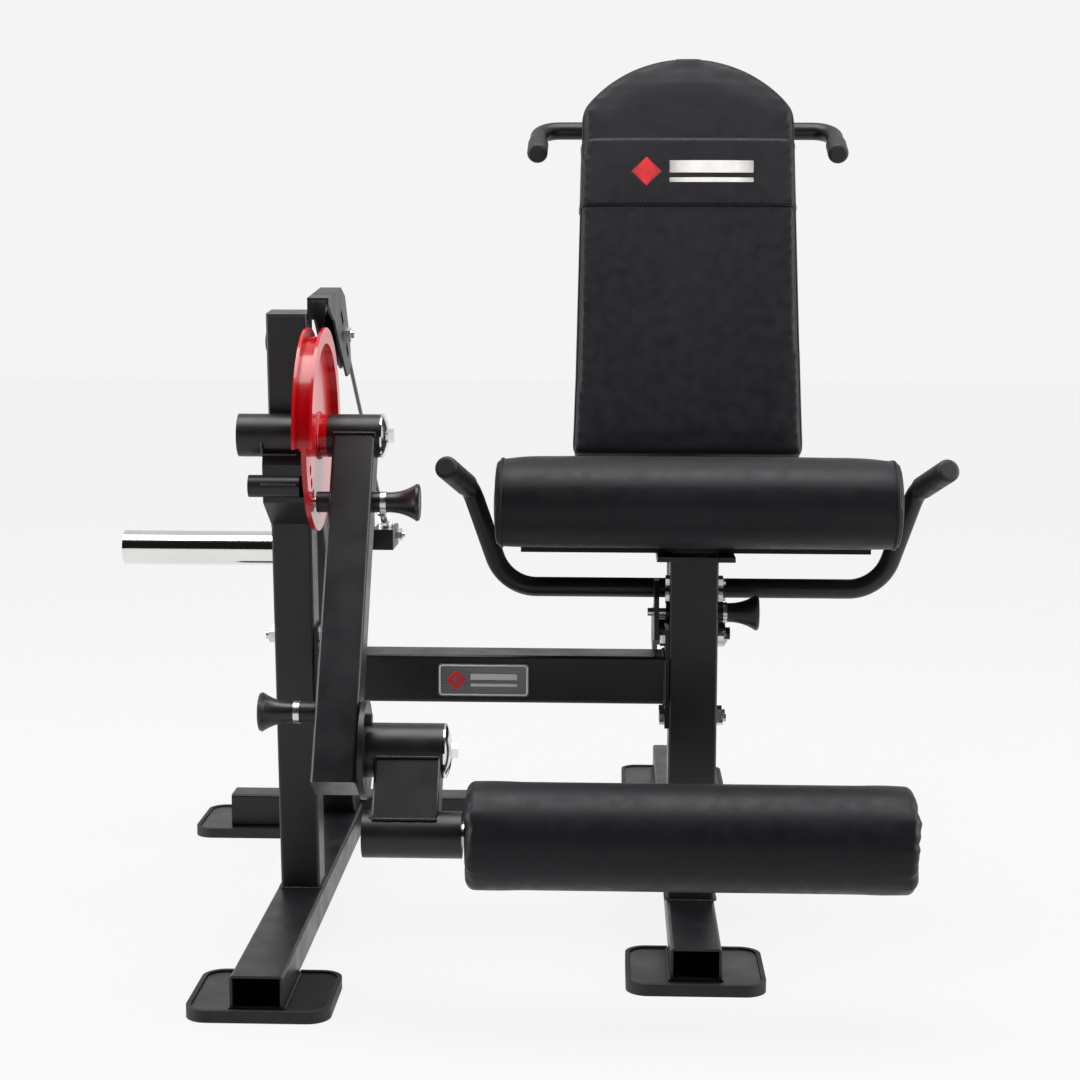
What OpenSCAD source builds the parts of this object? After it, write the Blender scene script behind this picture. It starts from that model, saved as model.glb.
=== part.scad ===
// Plate-loaded leg extension machine. Lengths in millimetres, angles in degrees.
// x runs across the machine (user's left is -x seen from the front), y runs from
// the front to the back, z is up. Working coordinates have x = 0 beside the tower,
// y = 0 at the front edge of the tower foot and z = 0 on the floor; in_frame() moves
// them so that the origin is the middle of the footprint.

/* [Tower] */
// Centre of the tower post across the machine
tower_x = -8; // [-8:1:-6]
// Width and depth of the tower post, lever and brace tube
post_w = 50; // [46:1:50]
// Forward lean of the tower post
post_lean = 5.4; // [4:0.1:6]
// Height of the top of the tower post
post_top = 784; // [780:1:790]
// Width of the floor beams
beam_w = 60; // [56:1:64]
// Height of the floor beams
beam_h = 40; // [36:1:44]

/* [Seat] */
// Centre of the seat across the machine
seat_x = 490; // [485:1:495]
// Width of the seat post tube
seat_post_w = 60; // [56:1:60]
// Width of the seat cushion at its front
seat_w = 488; // [460:1:492]
// Width of the seat cushion at its back
seat_back_w = 396; // [380:1:420]
// Width of the back cushion at its bottom
back_w = 312; // [300:1:320]
// Recline of the back cushion from vertical
recline = 17; // [14:0.5:18]

/* [Lever] */
// Height of the main pivot
pivot_z = 640; // [636:1:642]
// Forward tilt of the lever from vertical
lever_tilt = 30.5; // [29:0.5:31]
// Distance from the main pivot to the shin pivot
lever_len = 396; // [392:1:400]
// Radius of the leg roller
roller_r = 59.5; // [50:0.5:61]
// Length of the leg roller
roller_len = 500; // [460:1:500]

/* [Cam and weight arm] */
// Radius of the cam disc
cam_r = 115; // [110:1:116]
// Distance from the arm pivot to the cable clevis
arm_len = 480; // [470:1:480]
// Length of the weight sleeve
sleeve_len = 294; // [250:1:300]
// Radius of the weight sleeve
sleeve_r = 25; // [24:0.5:25.5]

/* [Hidden] */
$fn = 48;
wall = 3;
fit = 0.05;
tray_h = 12;
beam_z0 = tray_h;
beam_z1 = beam_z0 + beam_h;
post_y = 378;
tray_w = 165;
tray_d = 146;

// main pivot and lever
pivot_y = 270;
axle_r = 12.5;
hub_r = 26;
lever_x = 78;
shin_y = pivot_y - lever_len * sin(lever_tilt);
shin_z = pivot_z - lever_len * cos(lever_tilt);
lever_end = 438;
cam_x = 30.5;
pin_orbit = 88;
lock_reach = 352;
roller_y = 10;
roller_z = 217;
roller_x0 = 226;
roller_x1 = roller_x0 + roller_len;
shin_x0 = 115;
shin_x1 = 200;
shin_dy = roller_y - shin_y;
shin_dz = roller_z - shin_z;
shin_len = sqrt(shin_dy * shin_dy + shin_dz * shin_dz);
shin_tilt = atan2(-shin_dy, -shin_dz);

// pulley and cable
pulley_y = 445;
pulley_z = 757;
pulley_r = 44;
cable_r = 2.75;
groove_r = pulley_r - 5;
cam_run_r = cam_r + 4.3 + cable_r;
arm_w = 49;
run_r = groove_r + cable_r;
arm_y = 585;
arm_z = 430;
clevis_y = arm_y + arm_len;
clevis_z = arm_z - 8;
run_dy = clevis_y - pulley_y;
run_dz = pulley_z - clevis_z;
run_d = sqrt(run_dy * run_dy + run_dz * run_dz);
run_drop = atan2(run_dz, run_dy) + asin(run_r / run_d);
run_len = sqrt(run_d * run_d - run_r * run_r);
sleeve_y = 792;
sleeve_z = 434;
sleeve_x0 = tower_x - post_w / 2 - sleeve_len;

// seat and back
seat_post_y = 350;
seat_z = 502;
bar_y = 404;
bar_z = 438;
bar_half = 238;
tube_r = 12.5;
grip_r = 14.5;
grip_tip = [307, 304, 600];
grip_bend = [282, 404, 563];
tilt_y = 436;
tilt_z = 374;
seat_pin_z = 415;
pad_y = 590;
pad_z = 590;
pad_len = 575;
pad_t = 62;
board_t = 12;
board_gap = 1;
carrier_w = 50;
carrier_off = pad_t + board_gap + board_t + carrier_w / 2;
carrier_y = pad_y + (carrier_off - (pad_z - tilt_z) * sin(recline)) / cos(recline);
carrier_len = 684;

// footprint, used by in_frame()
grip_dir = unit(grip_tip - grip_bend);
x_hi = seat_x + grip_tip[0] + grip_r * sqrt(1 - grip_dir[0] * grip_dir[0]);
x_lo = sleeve_x0;
y_lo = roller_y - roller_r;
y_hi = 1225;

// ---- helpers ----
function unit(v) = v / norm(v);

module in_frame() {
    translate([-(x_lo + x_hi) / 2, -(y_lo + y_hi) / 2, 0])
        children();
}

module rounded(w, h, r) {
    square([w - 2 * r, h], center = true);
    square([w, h - 2 * r], center = true);
    for (sx = [-1, 1], sy = [-1, 1])
        translate([sx * (w / 2 - r), sy * (h / 2 - r)])
            circle(r);
}

// rectangular steel tube standing on z = 0
module steel_tube(w, h, len, r = 4) {
    linear_extrude(len)
        difference() {
            rounded(w, h, r);
            square([w - 2 * wall, h - 2 * wall], center = true);
        }
}

// rod or tube along x from x0 to x1
module rod_x(x0, x1, r, bore = 0) {
    translate([x0, 0, 0])
        rotate([0, 90, 0])
            difference() {
                cylinder(h = x1 - x0, r = r);
                if (bore > 0)
                    translate([0, 0, -1])
                        cylinder(h = x1 - x0 + 2, r = bore);
            }
}

module hex_x(x0, x1, across) {
    translate([x0, 0, 0])
        rotate([0, 90, 0])
            cylinder(h = x1 - x0, d = across / cos(30), $fn = 6);
}

// hex bolt along x with its head at x0 and a nut on the far side of the grip
module bolt_x(x0, x1, d) {
    hex_x(x0 - 0.65 * d, x0, 1.7 * d);
    rod_x(x0 - 1, x1 + 1.2 * d, d / 2);
    hex_x(x1, x1 + 0.8 * d, 1.7 * d);
}

// path through pts with its corners rounded to bend_r, one radius or one for each corner
function arc(p, q, s, bend_r, steps = 8) =
    let (u = unit(p - q),
         v = unit(s - q),
         turn = 180 - acos(u * v),
         start = q + u * bend_r * tan(turn / 2),
         c = q + unit(u + v) * bend_r / cos(turn / 2),
         ex = unit(start - c))
    [for (k = [0 : steps]) c + bend_r * (ex * cos(turn * k / steps) - u * sin(turn * k / steps))];

function rounded_path(pts, bend_r) = concat(
    [pts[0]],
    [for (i = [1 : len(pts) - 2])
        each arc(pts[i - 1], pts[i], pts[i + 1], is_list(bend_r) ? bend_r[i - 1] : bend_r)],
    [pts[len(pts) - 1]]);

function tangents(pts) =
    let (last = len(pts) - 1)
    [for (i = [0 : last])
        unit((i == last ? [0, 0, 0] : unit(pts[i + 1] - pts[i]))
             + (i == 0 ? [0, 0, 0] : unit(pts[i] - pts[i - 1])))];

function normals(t, n, i = 0) =
    i == len(t) ? [] :
    let (m = unit(n - t[i] * (n * t[i])))
    concat([m], normals(t, m, i + 1));

// closed round tube swept along a path
module swept(path, r, sides) {
    t = tangents(path);
    n = normals(t, cross(t[0], unit([0.3, 0.5, 0.8])));
    last = len(path) - 1;
    points = [for (i = [0 : last], k = [0 : sides - 1])
        path[i] + r * (n[i] * cos(360 * k / sides) + cross(t[i], n[i]) * sin(360 * k / sides))];
    faces = concat(
        [[for (k = [0 : sides - 1]) k]],
        [[for (k = [sides - 1 : -1 : 0]) last * sides + k]],
        [for (i = [0 : last - 1], k = [0 : sides - 1])
            let (a = i * sides + k, b = i * sides + (k + 1) % sides)
            each [[a, a + sides, b], [b, a + sides, b + sides]]]);
    polyhedron(points, faces);
}

// rubber sleeve with a rounded closed end, its mouth at m and its tip at t
module grip(m, t, r, bore) {
    d = t - m;
    len = norm(d);
    edge = 5;
    translate(m)
        rotate([0, acos(d[2] / len), atan2(d[1], d[0])])
            rotate_extrude()
                difference() {
                    union() {
                        square([r, len - edge]);
                        square([r - edge, len]);
                        translate([r - edge, len - edge])
                            circle(edge);
                    }
                    square([bore, len - 4]);
                    translate([-r, 0])
                        square([r, len]);
                }
}

// trumpet-shaped pull knob along +x from x = 0
module knob(len = 40) {
    stem = 12;
    flare = 10.5;
    lip = 4;
    rotate([0, 90, 0])
        rotate_extrude()
            polygon(concat(
                [[5.05, 0]],
                [for (t = [0 : 0.125 : 1]) [stem + flare * pow(t, 2.4), t * (len - lip)]],
                [[stem + flare - 1, len - 1], [stem + flare - 4, len], [0, len], [0, len - lip], [5.05, len - lip]]));
}

// ---- floor frame ----
module tower_base_beam() {
    color("#17171a") in_frame()
        translate([tower_x, 9, beam_z0 + beam_h / 2])
            rotate([-90, 0, 0])
                steel_tube(beam_w, beam_h, 794);
}

module rear_cross_tube() {
    color("#17171a") in_frame()
        translate([-178, 828, beam_z0 + 24])
            rotate([0, 90, 0])
                steel_tube(48, 50, seat_x - beam_w / 2 + 178);
}

module seat_base_beam() {
    color("#17171a") in_frame()
        translate([seat_x, 128, beam_z0 + beam_h / 2])
            rotate([-90, 0, 0])
                steel_tube(beam_w, beam_h, 1080);
}

// rubber tray foot: low slab with a raised rim, notched at [x, y, width, depth] for its beam
module tray(x, y, notch) {
    color("#101012") in_frame()
        translate([x, y, 0])
            difference() {
                linear_extrude(tray_h + 2)
                    rounded(tray_w, tray_d, 26);
                translate([0, 0, tray_h - 5])
                    linear_extrude(10)
                        rounded(tray_w - 11, tray_d - 11, 20);
                translate([notch[0], notch[1], tray_h])
                    cube([notch[2], notch[3], 10]);
            }
}

foot_y = tray_d / 2;
right_foot_y = 110 + tray_d / 2;
rear_foot_x = -148;
rear_foot_y = 852;
notch_w = beam_w + 1;
module foot_front_left() tray(tower_x, foot_y, [-notch_w / 2, 0, notch_w, 100]);
module foot_rear_left() tray(rear_foot_x, rear_foot_y, [0, -48.5, 100, 49]);
module foot_front_right() tray(seat_x, right_foot_y, [-notch_w / 2, 0, notch_w, 100]);
module foot_rear_right() tray(seat_x, y_hi - foot_y, [-notch_w / 2, -100, notch_w, 100]);

// steel plates lying in the trays, welded under the beams
module foot_plates() {
    color("#17171a") in_frame()
        for (p = [[tower_x, foot_y], [rear_foot_x, rear_foot_y], [seat_x, right_foot_y], [seat_x, y_hi - foot_y]])
            translate([p[0], p[1], tray_h - 5])
                linear_extrude(5)
                    rounded(tray_w - 12, tray_d - 12, 19.5);
}

// ---- tower ----
module post_axis() {
    translate([tower_x, post_y, beam_z1])
        rotate([post_lean, 0, 0])
            children();
}

module tower_post() {
    color("#17171a") in_frame()
        difference() {
            post_axis()
                translate([0, 0, -20])
                    steel_tube(post_w, post_w, 20 + (post_top - beam_z1) / cos(post_lean));
            translate([tower_x - 100, post_y - 100, beam_z1 - 60])
                cube([200, 200, 60]);
            flange_holes();
            at_plug()
                rod_x(-6, 2, plug_r + fit);
        }
}

// plug that closes the hole in the left wall of the post
plug_r = 8;
plug_z = 752;
module at_plug() {
    translate([tower_x - post_w / 2 + wall, post_y - (plug_z - beam_z1) * tan(post_lean), plug_z])
        children();
}

module post_plug() {
    color("#101012") in_frame()
        at_plug() {
            rod_x(-wall - 0.6, 6, plug_r);
            rod_x(-wall - 3, -wall, plug_r + 3.5);
        }
}

module tower_post_cap() {
    color("#101012") in_frame()
        post_axis()
            translate([0, 0, (post_top - beam_z1) / cos(post_lean)]) {
                linear_extrude(4)
                    rounded(post_w, post_w, 4);
                translate([0, 0, -18])
                    linear_extrude(18)
                        rounded(post_w - 2 * wall - 0.2, post_w - 2 * wall - 0.2, 1);
            }
}

// diagonal brace behind the post, cut flush with the beam and the post
brace_tilt = 35;
module rear_brace() {
    color("#17171a") in_frame()
        difference() {
            translate([tower_x, 738 + post_w / 2 / cos(brace_tilt), beam_z1])
                rotate([brace_tilt, 0, 0])
                    translate([0, 0, -60])
                        steel_tube(post_w, post_w, 760);
            translate([tower_x - 100, 600, beam_z1 - 100])
                cube([200, 300, 100]);
            post_axis()
                translate([-60, -300, -50])
                    cube([120, 300 + post_w / 2, 1000]);
        }
}

// ---- crossbeam ----
flange_h = 124;
flange_z = 272;
flange_t = 5;
beam_mid_z = 333;
bolt_d = 10;
flange_bolts = [for (y = [-14, 14], z = [12, flange_h - 12]) [0, seat_post_y + y, flange_z + z]];
handle_bolts = [for (z = [-3, 17]) [0, seat_post_y - 8, bar_z + z]];

module flange_holes() {
    for (p = flange_bolts)
        translate(p)
            rod_x(-100, seat_x + 100, bolt_d / 2 + 0.3);
}

module crossbeam() {
    x0 = tower_x + post_w / 2;
    x1 = seat_x - seat_post_w / 2;
    color("#17171a") in_frame()
        difference() {
            union() {
                translate([x0 + flange_t, seat_post_y, beam_mid_z])
                    rotate([0, 90, 0])
                        steel_tube(60, 60, x1 - x0 - 2 * flange_t);
                for (x = [x0, x1 - flange_t])
                    translate([x, seat_post_y - 28, flange_z])
                        cube([flange_t, 56, flange_h]);
            }
            flange_holes();
        }
}

module frame_bolts() {
    color("#b9bdc0") in_frame() {
        for (p = flange_bolts) {
            translate(p)
                bolt_x(seat_x - seat_post_w / 2 - flange_t, seat_x + seat_post_w / 2, bolt_d);
            translate(p)
                mirror([1, 0, 0])
                    bolt_x(-(tower_x + post_w / 2 + flange_t), -(tower_x - post_w / 2), bolt_d);
        }
        for (p = handle_bolts)
            translate(p)
                bolt_x(seat_x - seat_post_w / 2, seat_x + seat_post_w / 2, 8);
    }
}

module name_plate() {
    color("#8f9193") in_frame()
        translate([229, seat_post_y - 30, beam_mid_z - 1])
            rotate([90, 0, 0])
                linear_extrude(2)
                    rounded(113, 41, 4);
}

// ---- main pivot ----
module at_pivot() {
    translate([0, pivot_y, pivot_z])
        children();
}

housing_x0 = -64;
housing_x1 = 10;
module pivot_housing() {
    color("#17171a") in_frame()
        at_pivot()
            rod_x(housing_x0, housing_x1, hub_r, axle_r + fit);
}

// welded nose that carries the housing on the front of the post
module pivot_gusset() {
    color("#17171a") in_frame()
        difference() {
            translate([tower_x - post_w / 2, 0, 0])
                rotate([90, 0, 90])
                    linear_extrude(post_w)
                        polygon([[258, 640], [246, 606], [250, 560], [322, 520], [322, 660], [280, 660]]);
            at_pivot()
                rod_x(-100, 100, hub_r + 0.1);
            post_axis()
                translate([-60, -post_w / 2, -50])
                    cube([120, 300, 1000]);
            at_stop()
                rod_x(-100, 100, stop_r + 0.1);
        }
}

stop_r = 13.5;
module at_stop() {
    translate([0, 252, 580])
        children();
}

module stop_tube() {
    color("#141416") in_frame()
        at_stop()
            rod_x(-50, 12, stop_r);
}

// domed chrome retaining washer with its bolt head, base at x = 0
module domed_washer(r) {
    dome = 7;
    curve = (r * r + dome * dome) / (2 * dome);
    rotate([0, 90, 0])
        rotate_extrude() {
            square([r, 2]);
            difference() {
                translate([0, 2 + dome - curve])
                    circle(curve, $fn = 160);
                translate([-2 * curve, 2 - 2 * curve])
                    square([4 * curve, 2 * curve]);
                translate([-2 * curve, 1])
                    square([2 * curve, 2 * curve]);
            }
        }
    hex_x(5, 15, 15);
}

axle_x1 = 109;
module pivot_axle() {
    color("#c9ccce") in_frame()
        at_pivot() {
            rod_x(housing_x0 + 6, axle_x1, axle_r);
            translate([axle_x1, 0, 0])
                domed_washer(27);
        }
}

// ---- pulley ----
module at_pulley() {
    translate([0, pulley_y, pulley_z])
        children();
}

bracket_x0 = 17;
bracket_x1 = 43;
bracket_t = 3;
module side_profile(x0, x1, pts) {
    translate([x0, 0, 0])
        rotate([90, 0, 90])
            linear_extrude(x1 - x0)
                polygon(pts);
}

module pulley_bracket() {
    color("#1b1b1d") in_frame()
        difference() {
            side_profile(bracket_x0, bracket_x1, [[290, 778], [290, 805], [410, 817], [450, 806], [500, 748],
                                                  [508, 722], [494, 704], [470, 702], [400, 742], [345, 778]]);
            side_profile(bracket_x0 + bracket_t, bracket_x1 - bracket_t,
                         [[280, 690], [280, 801], [410, 814], [410, 830], [520, 830], [520, 690]]);
            side_profile(bracket_x0 - 1, bracket_x0 + bracket_t + 1,
                         [[520, 690], [520, 830], [430, 830], [466, 790], [460, 736], [440, 690]]);
            side_profile(bracket_x1 - bracket_t - 1, bracket_x1 + 1, [[280, 770], [280, 801], [345, 775], [345, 770]]);
            at_pulley() {
                rod_x(bracket_x0 - 5, bracket_x1 + 5, 5 + fit);
                for (a = [140, 320])
                    rotate([a, 0, 0])
                        translate([bracket_x1 - 10, 20, -5])
                            cube([20, 26, 10]);
            }
        }
}

module pulley() {
    color("#0e0e10") in_frame()
        translate([cam_x - 8, pulley_y, pulley_z])
            rotate([0, 90, 0])
                rotate_extrude($fn = 96)
                    difference() {
                        translate([5 + fit, 0])
                            square([pulley_r - 5 - fit, 16]);
                        translate([pulley_r + 1, 8])
                            circle(pulley_r + 1 - groove_r + 0.3);
                    }
}

module pulley_bolt() {
    color("#b9bdc0") in_frame()
        at_pulley()
            bolt_x(bracket_x0, bracket_x1, 10);
}

// ---- cam ----
module cam() {
    inner = cam_r - 4;
    color("#b3121c") in_frame()
        at_pivot()
            difference() {
                union() {
                    rod_x(housing_x1 + 0.5, 45, hub_r);
                    rod_x(cam_x - 3, cam_x + 3, cam_r);
                    rotate([87, 0, 0])
                        rotate([0, 90, 0])
                            rotate_extrude(angle = 186, $fn = 120) {
                                translate([inner, cam_x - 12])
                                    square([8, 24]);
                                translate([inner, cam_x - 12])
                                    square([19, 3.5]);
                                translate([inner, cam_x + 8.5])
                                    square([19, 3.5]);
                            }
                }
                rod_x(0, 60, axle_r + fit);
                for (i = [-3 : 3])
                    rotate([-lever_tilt + i * 12, 0, 0])
                        translate([0, 0, -pin_orbit])
                            rod_x(0, 60, 6.5);
            }
}

// bolt block that holds the end of the cable in the back of the groove
module cable_anchor() {
    color("#8a8d90") in_frame()
        at_pivot()
            translate([cam_x - 8, cam_r + 4.2, -7])
                cube([16, 9, 12]);
}

// ---- lever ----
module along_lever() {
    translate([lever_x, pivot_y, pivot_z])
        rotate([-lever_tilt, 0, 0])
            children();
}

module at_shin() {
    translate([0, shin_y, shin_z])
        children();
}

sleeve_hole_r = 12.5;
module lever_arm() {
    color("#17171a") in_frame()
        difference() {
            union() {
                along_lever()
                    translate([0, 0, -lever_end])
                        steel_tube(post_w, post_w, lever_end - 10);
                at_pivot()
                    rod_x(45.5, 108.5, hub_r);
            }
            at_pivot()
                rod_x(0, 200, axle_r + fit);
            along_lever() {
                translate([0, 0, -pin_orbit])
                    rod_x(-60, 60, sleeve_hole_r);
                translate([0, 0, -lock_reach])
                    rod_x(-60, 60, sleeve_hole_r);
            }
            at_shin()
                rod_x(0, 200, axle_r + 0.1);
        }
}

module lever_end_cap() {
    color("#101012") in_frame()
        along_lever()
            translate([0, 0, -lever_end - 4]) {
                linear_extrude(4)
                    rounded(post_w, post_w, 4);
                translate([0, 0, 4])
                    linear_extrude(14)
                        rounded(post_w - 2 * wall - 0.2, post_w - 2 * wall - 0.2, 1);
            }
}

shin_washer_x = shin_x1 + 0.5;
module shin_axle() {
    color("#c4c7c9") in_frame()
        at_shin() {
            rod_x(lever_x - 24, shin_washer_x, axle_r);
            translate([shin_washer_x, 0, 0])
                domed_washer(31);
        }
}

// sleeve through the lever that guides a plunger
module pin_sleeve(x0, x1, along) {
    color("#141416") in_frame()
        along_lever()
            translate([0, 0, -along])
                rod_x(x0, x1, sleeve_hole_r - 0.1, 6 + fit);
}

module upper_pin_housing() pin_sleeve(-42, 34, pin_orbit);

module upper_pin() {
    color("#b9bdc0") in_frame()
        along_lever()
            translate([0, 0, -pin_orbit]) {
                rod_x(cam_x + 3.5 - lever_x, 34, 6);
                rod_x(34.2, 41, 13);
                rod_x(41, 76, 5);
            }
}

module upper_knob() {
    color("#0e0e10") in_frame()
        along_lever()
            translate([41, 0, -pin_orbit])
                knob(40);
}

module lower_pin_housing() pin_sleeve(-45, 26, lock_reach);

quadrant_x = 107;
module lower_pin() {
    color("#b9bdc0") in_frame()
        along_lever()
            translate([0, 0, -lock_reach]) {
                rod_x(-45, quadrant_x - 0.6 - lever_x, 6);
                rod_x(-52, -45.2, 13);
                rod_x(-87, -52, 5);
            }
}

module lower_knob() {
    color("#0e0e10") in_frame()
        along_lever()
            translate([-52, 0, -lock_reach])
                mirror([1, 0, 0])
                    knob(40);
}

// ---- shin arm and roller ----
shin_hub_r = 31;
axle_tube_r = 26;
module shin_arm() {
    color("#17171a") in_frame()
        difference() {
            union() {
                at_shin() {
                    rod_x(shin_x0, shin_x1, shin_hub_r);
                    translate([161, 0, 0])
                        rotate([-shin_tilt, 0, 0])
                            translate([0, 0, -shin_len])
                                linear_extrude(shin_len)
                                    rounded(74, 50, 4);
                }
                translate([0, roller_y, roller_z])
                    rod_x(114, 224, axle_tube_r);
            }
            at_shin()
                rod_x(0, 300, axle_r + fit);
            translate([0, roller_y, roller_z])
                rod_x(124, 300, 15.1);
        }
}

lock_r = lever_len - lock_reach;
module shin_quadrant() {
    color("#17171a") in_frame()
        at_shin()
            difference() {
                union() {
                    rod_x(quadrant_x, quadrant_x + 6, 56);
                    rod_x(quadrant_x + 6, shin_x0, shin_hub_r);
                    rotate([-lever_tilt + 62, 0, 0])
                        translate([0, 0, 47])
                            hex_x(quadrant_x + 6, quadrant_x + 14, 13);
                }
                rod_x(0, 300, axle_r + fit);
                for (i = [-3 : 3])
                    rotate([-lever_tilt + i * 18, 0, 0])
                        translate([0, 0, lock_r])
                            rod_x(quadrant_x - 1, quadrant_x + 5, 6.3);
            }
}

module roller_axle() {
    color("#8f9295") in_frame()
        translate([0, roller_y, roller_z]) {
            rod_x(124, roller_x1 - 14, 15);
            rod_x(roller_x1 - 14, roller_x1 - 10, 19.5);
        }
}

module roller_core() {
    color("#2a2a2c") in_frame()
        translate([0, roller_y, roller_z])
            rod_x(roller_x0 + 1, roller_x1 - 14.5, 19.9, 15 + fit);
}

module roller_pad() {
    edge = 12;
    color("#1a1a1d") in_frame()
        translate([roller_x0, roller_y, roller_z])
            rotate([0, 90, 0])
                rotate_extrude()
                    difference() {
                        union() {
                            translate([20, edge])
                                square([roller_r - 20, roller_len - 2 * edge]);
                            translate([20, 0])
                                square([roller_r - 20 - edge, roller_len]);
                            for (z = [edge, roller_len - edge])
                                translate([roller_r - edge, z])
                                    circle(edge);
                        }
                        translate([0, -1])
                            square([20, roller_len + 2]);
                    }
}

// ---- weight arm ----
module at_arm() {
    translate([tower_x, arm_y, arm_z])
        children();
}

ear_t = 6;
module arm_pivot_ears() {
    color("#17171a") in_frame()
        difference() {
            union() {
                for (x = [tower_x - post_w / 2 - ear_t, tower_x + post_w / 2])
                    translate([x, 0, 0])
                        rotate([90, 0, 90])
                            linear_extrude(ear_t)
                                polygon([[478, 476], [536, 394], [552, 380], [636, 380], [636, 396],
                                         [606, 398], [612, 452], [560, 464], [500, 484]]);
                translate([tower_x - post_w / 2, 600, 380])
                    cube([post_w, 36, 6]);
            }
            at_arm()
                rod_x(-60, 60, 9.1);
        }
}

module arm_pivot_bolt() {
    color("#b9bdc0") in_frame()
        at_arm()
            bolt_x(-post_w / 2 - ear_t, post_w / 2 + ear_t, 18);
}

module arm_stop() {
    color("#101012") in_frame()
        translate([tower_x, 618, 386])
            cylinder(h = 19, r = 14);
}

module weight_arm() {
    color("#17171a") in_frame()
        difference() {
            union() {
                at_arm() {
                    rod_x(-arm_w / 2, arm_w / 2, arm_w / 2);
                    rotate([-90, 0, 0])
                        steel_tube(arm_w, arm_w, arm_len - 60);
                    translate([-arm_w / 2, arm_len - 60, -arm_w / 2])
                        cube([arm_w, 4, arm_w]);
                }
                for (x = [cam_x - 16, cam_x + 10])
                    translate([x, clevis_y - 70, clevis_z - 16])
                        cube([6, 88, 32]);
                translate([tower_x + arm_w / 2 - 8, clevis_y - 70, clevis_z - 16])
                    cube([cam_x + 16 - tower_x - arm_w / 2 + 8, 8, 32]);
            }
            at_arm()
                rod_x(-60, 60, 9 + fit);
            translate([0, clevis_y, clevis_z])
                rod_x(-60, 90, 5 + fit);
            translate([0, sleeve_y, sleeve_z])
                rod_x(-60, tower_x + arm_w / 2 - wall, 14);
        }
}

// hollow bright sleeve on a welded collar, with a plain rim at its free end
module weight_sleeve() {
    x1 = tower_x - arm_w / 2;
    color("#d3d2cf") in_frame()
        translate([0, sleeve_y, sleeve_z]) {
            rod_x(sleeve_x0, x1, sleeve_r, sleeve_r - 4);
            rod_x(sleeve_x0 + 2, sleeve_x0 + 8, sleeve_r - 4);
            rod_x(x1 - 10, x1, sleeve_r - 4);
            rod_x(x1 - 1, tower_x + arm_w / 2 - wall, 13.9);
        }
}

// ---- cable ----
// along_run() looks along the straight run from the pulley towards the clevis
module along_run() {
    translate([cam_x, pulley_y, pulley_z])
        rotate([-90 - run_drop, 0, 0])
            translate([0, -run_r, 0])
                children();
}

// the run from the back of the cam up to the pulley and over its top
lead_y = pivot_y + cam_run_r + 1.2;
module cable_tower() {
    foot = [cam_x, lead_y, pivot_z + 8];
    d = norm([pulley_y - lead_y, pulley_z - foot[2]]);
    tilt = atan2(pulley_y - lead_y, pulley_z - foot[2]) - asin(run_r / d);
    wrap = [for (a = [180 + tilt : -6 : 90 - run_drop])
        [cam_x, pulley_y + run_r * cos(a), pulley_z + run_r * sin(a)]];
    color("#111113") in_frame()
        swept(concat([foot], wrap, [[cam_x, pulley_y + run_r * sin(run_drop), pulley_z + run_r * cos(run_drop)]]),
              cable_r, 10);
}

half_run = run_len / 2;
terminal_len = 120;
cable_gap = 0.3;
module cable_upper() {
    color("#111113") in_frame()
        along_run()
            translate([0, 0, cable_gap])
                cylinder(h = half_run - cable_gap, r = cable_r);
}

module cable_lower() {
    color("#111113") in_frame()
        along_run()
            translate([0, 0, half_run])
                cylinder(h = half_run - terminal_len, r = cable_r);
}

// threaded terminal with two nuts, fork and cross bolt
module cable_clevis() {
    color("#b9bdc0") in_frame() {
        along_run()
            translate([0, 0, run_len]) {
                translate([0, 0, -terminal_len])
                    cylinder(h = terminal_len - 12, r = 6);
                for (z = [-96, -62])
                    translate([0, 0, z])
                        cylinder(h = 9, d = 19 / cos(30), $fn = 6);
                difference() {
                    translate([-9.5, -10, -40])
                        cube([19, 20, 50]);
                    rod_x(-20, 20, 5 + fit);
                }
            }
        translate([0, clevis_y, clevis_z])
            bolt_x(cam_x - 16, cam_x + 16, 10);
    }
}

// ---- seat ----
module seat_post() {
    color("#17171a") in_frame() {
        translate([seat_x, seat_post_y, beam_z1])
            difference() {
                steel_tube(seat_post_w, seat_post_w, seat_z - 18 - beam_z1);
                translate([0, 0, seat_pin_z - beam_z1])
                    rod_x(-60, 60, 8);
                translate([-seat_x, -seat_post_y, -beam_z1]) {
                    flange_holes();
                    for (p = handle_bolts)
                        translate(p)
                            rod_x(300, seat_x + 100, 4.3);
                }
            }
        translate([seat_x, seat_post_y, seat_pin_z]) {
            rod_x(-seat_post_w / 2 - 4, seat_post_w / 2 + 7, 7.9, 5 + fit);
            rod_x(seat_post_w / 2, seat_post_w / 2 + 7, 12.5, 7.9);
            rod_x(-seat_post_w / 2 - 4, -seat_post_w / 2, 12.5, 7.9);
        }
        translate([seat_x - 30, seat_post_y + seat_post_w / 2, bar_z - 22])
            cube([60, bar_y - tube_r - 0.1 - seat_post_y - seat_post_w / 2, 44]);
    }
}

// top plate on the post and the two bars that carry the seat board
module seat_mount() {
    color("#17171a") in_frame() {
        translate([seat_x - 47, seat_post_y - 45, seat_z - 18])
            cube([94, 90, 6]);
        for (s = [-1, 1])
            translate([seat_x + s * 37 - 10, 260, seat_z - 12])
                cube([20, 250, 6]);
    }
}

module seat_board() {
    color("#3a2f26") in_frame()
        translate([seat_x, 0, seat_z - 6])
            linear_extrude(9)
                polygon([[-seat_w / 2 + 30, 300], [seat_w / 2 - 30, 300],
                         [seat_back_w / 2 - 20, 570], [-seat_back_w / 2 + 20, 570]]);
}

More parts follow.
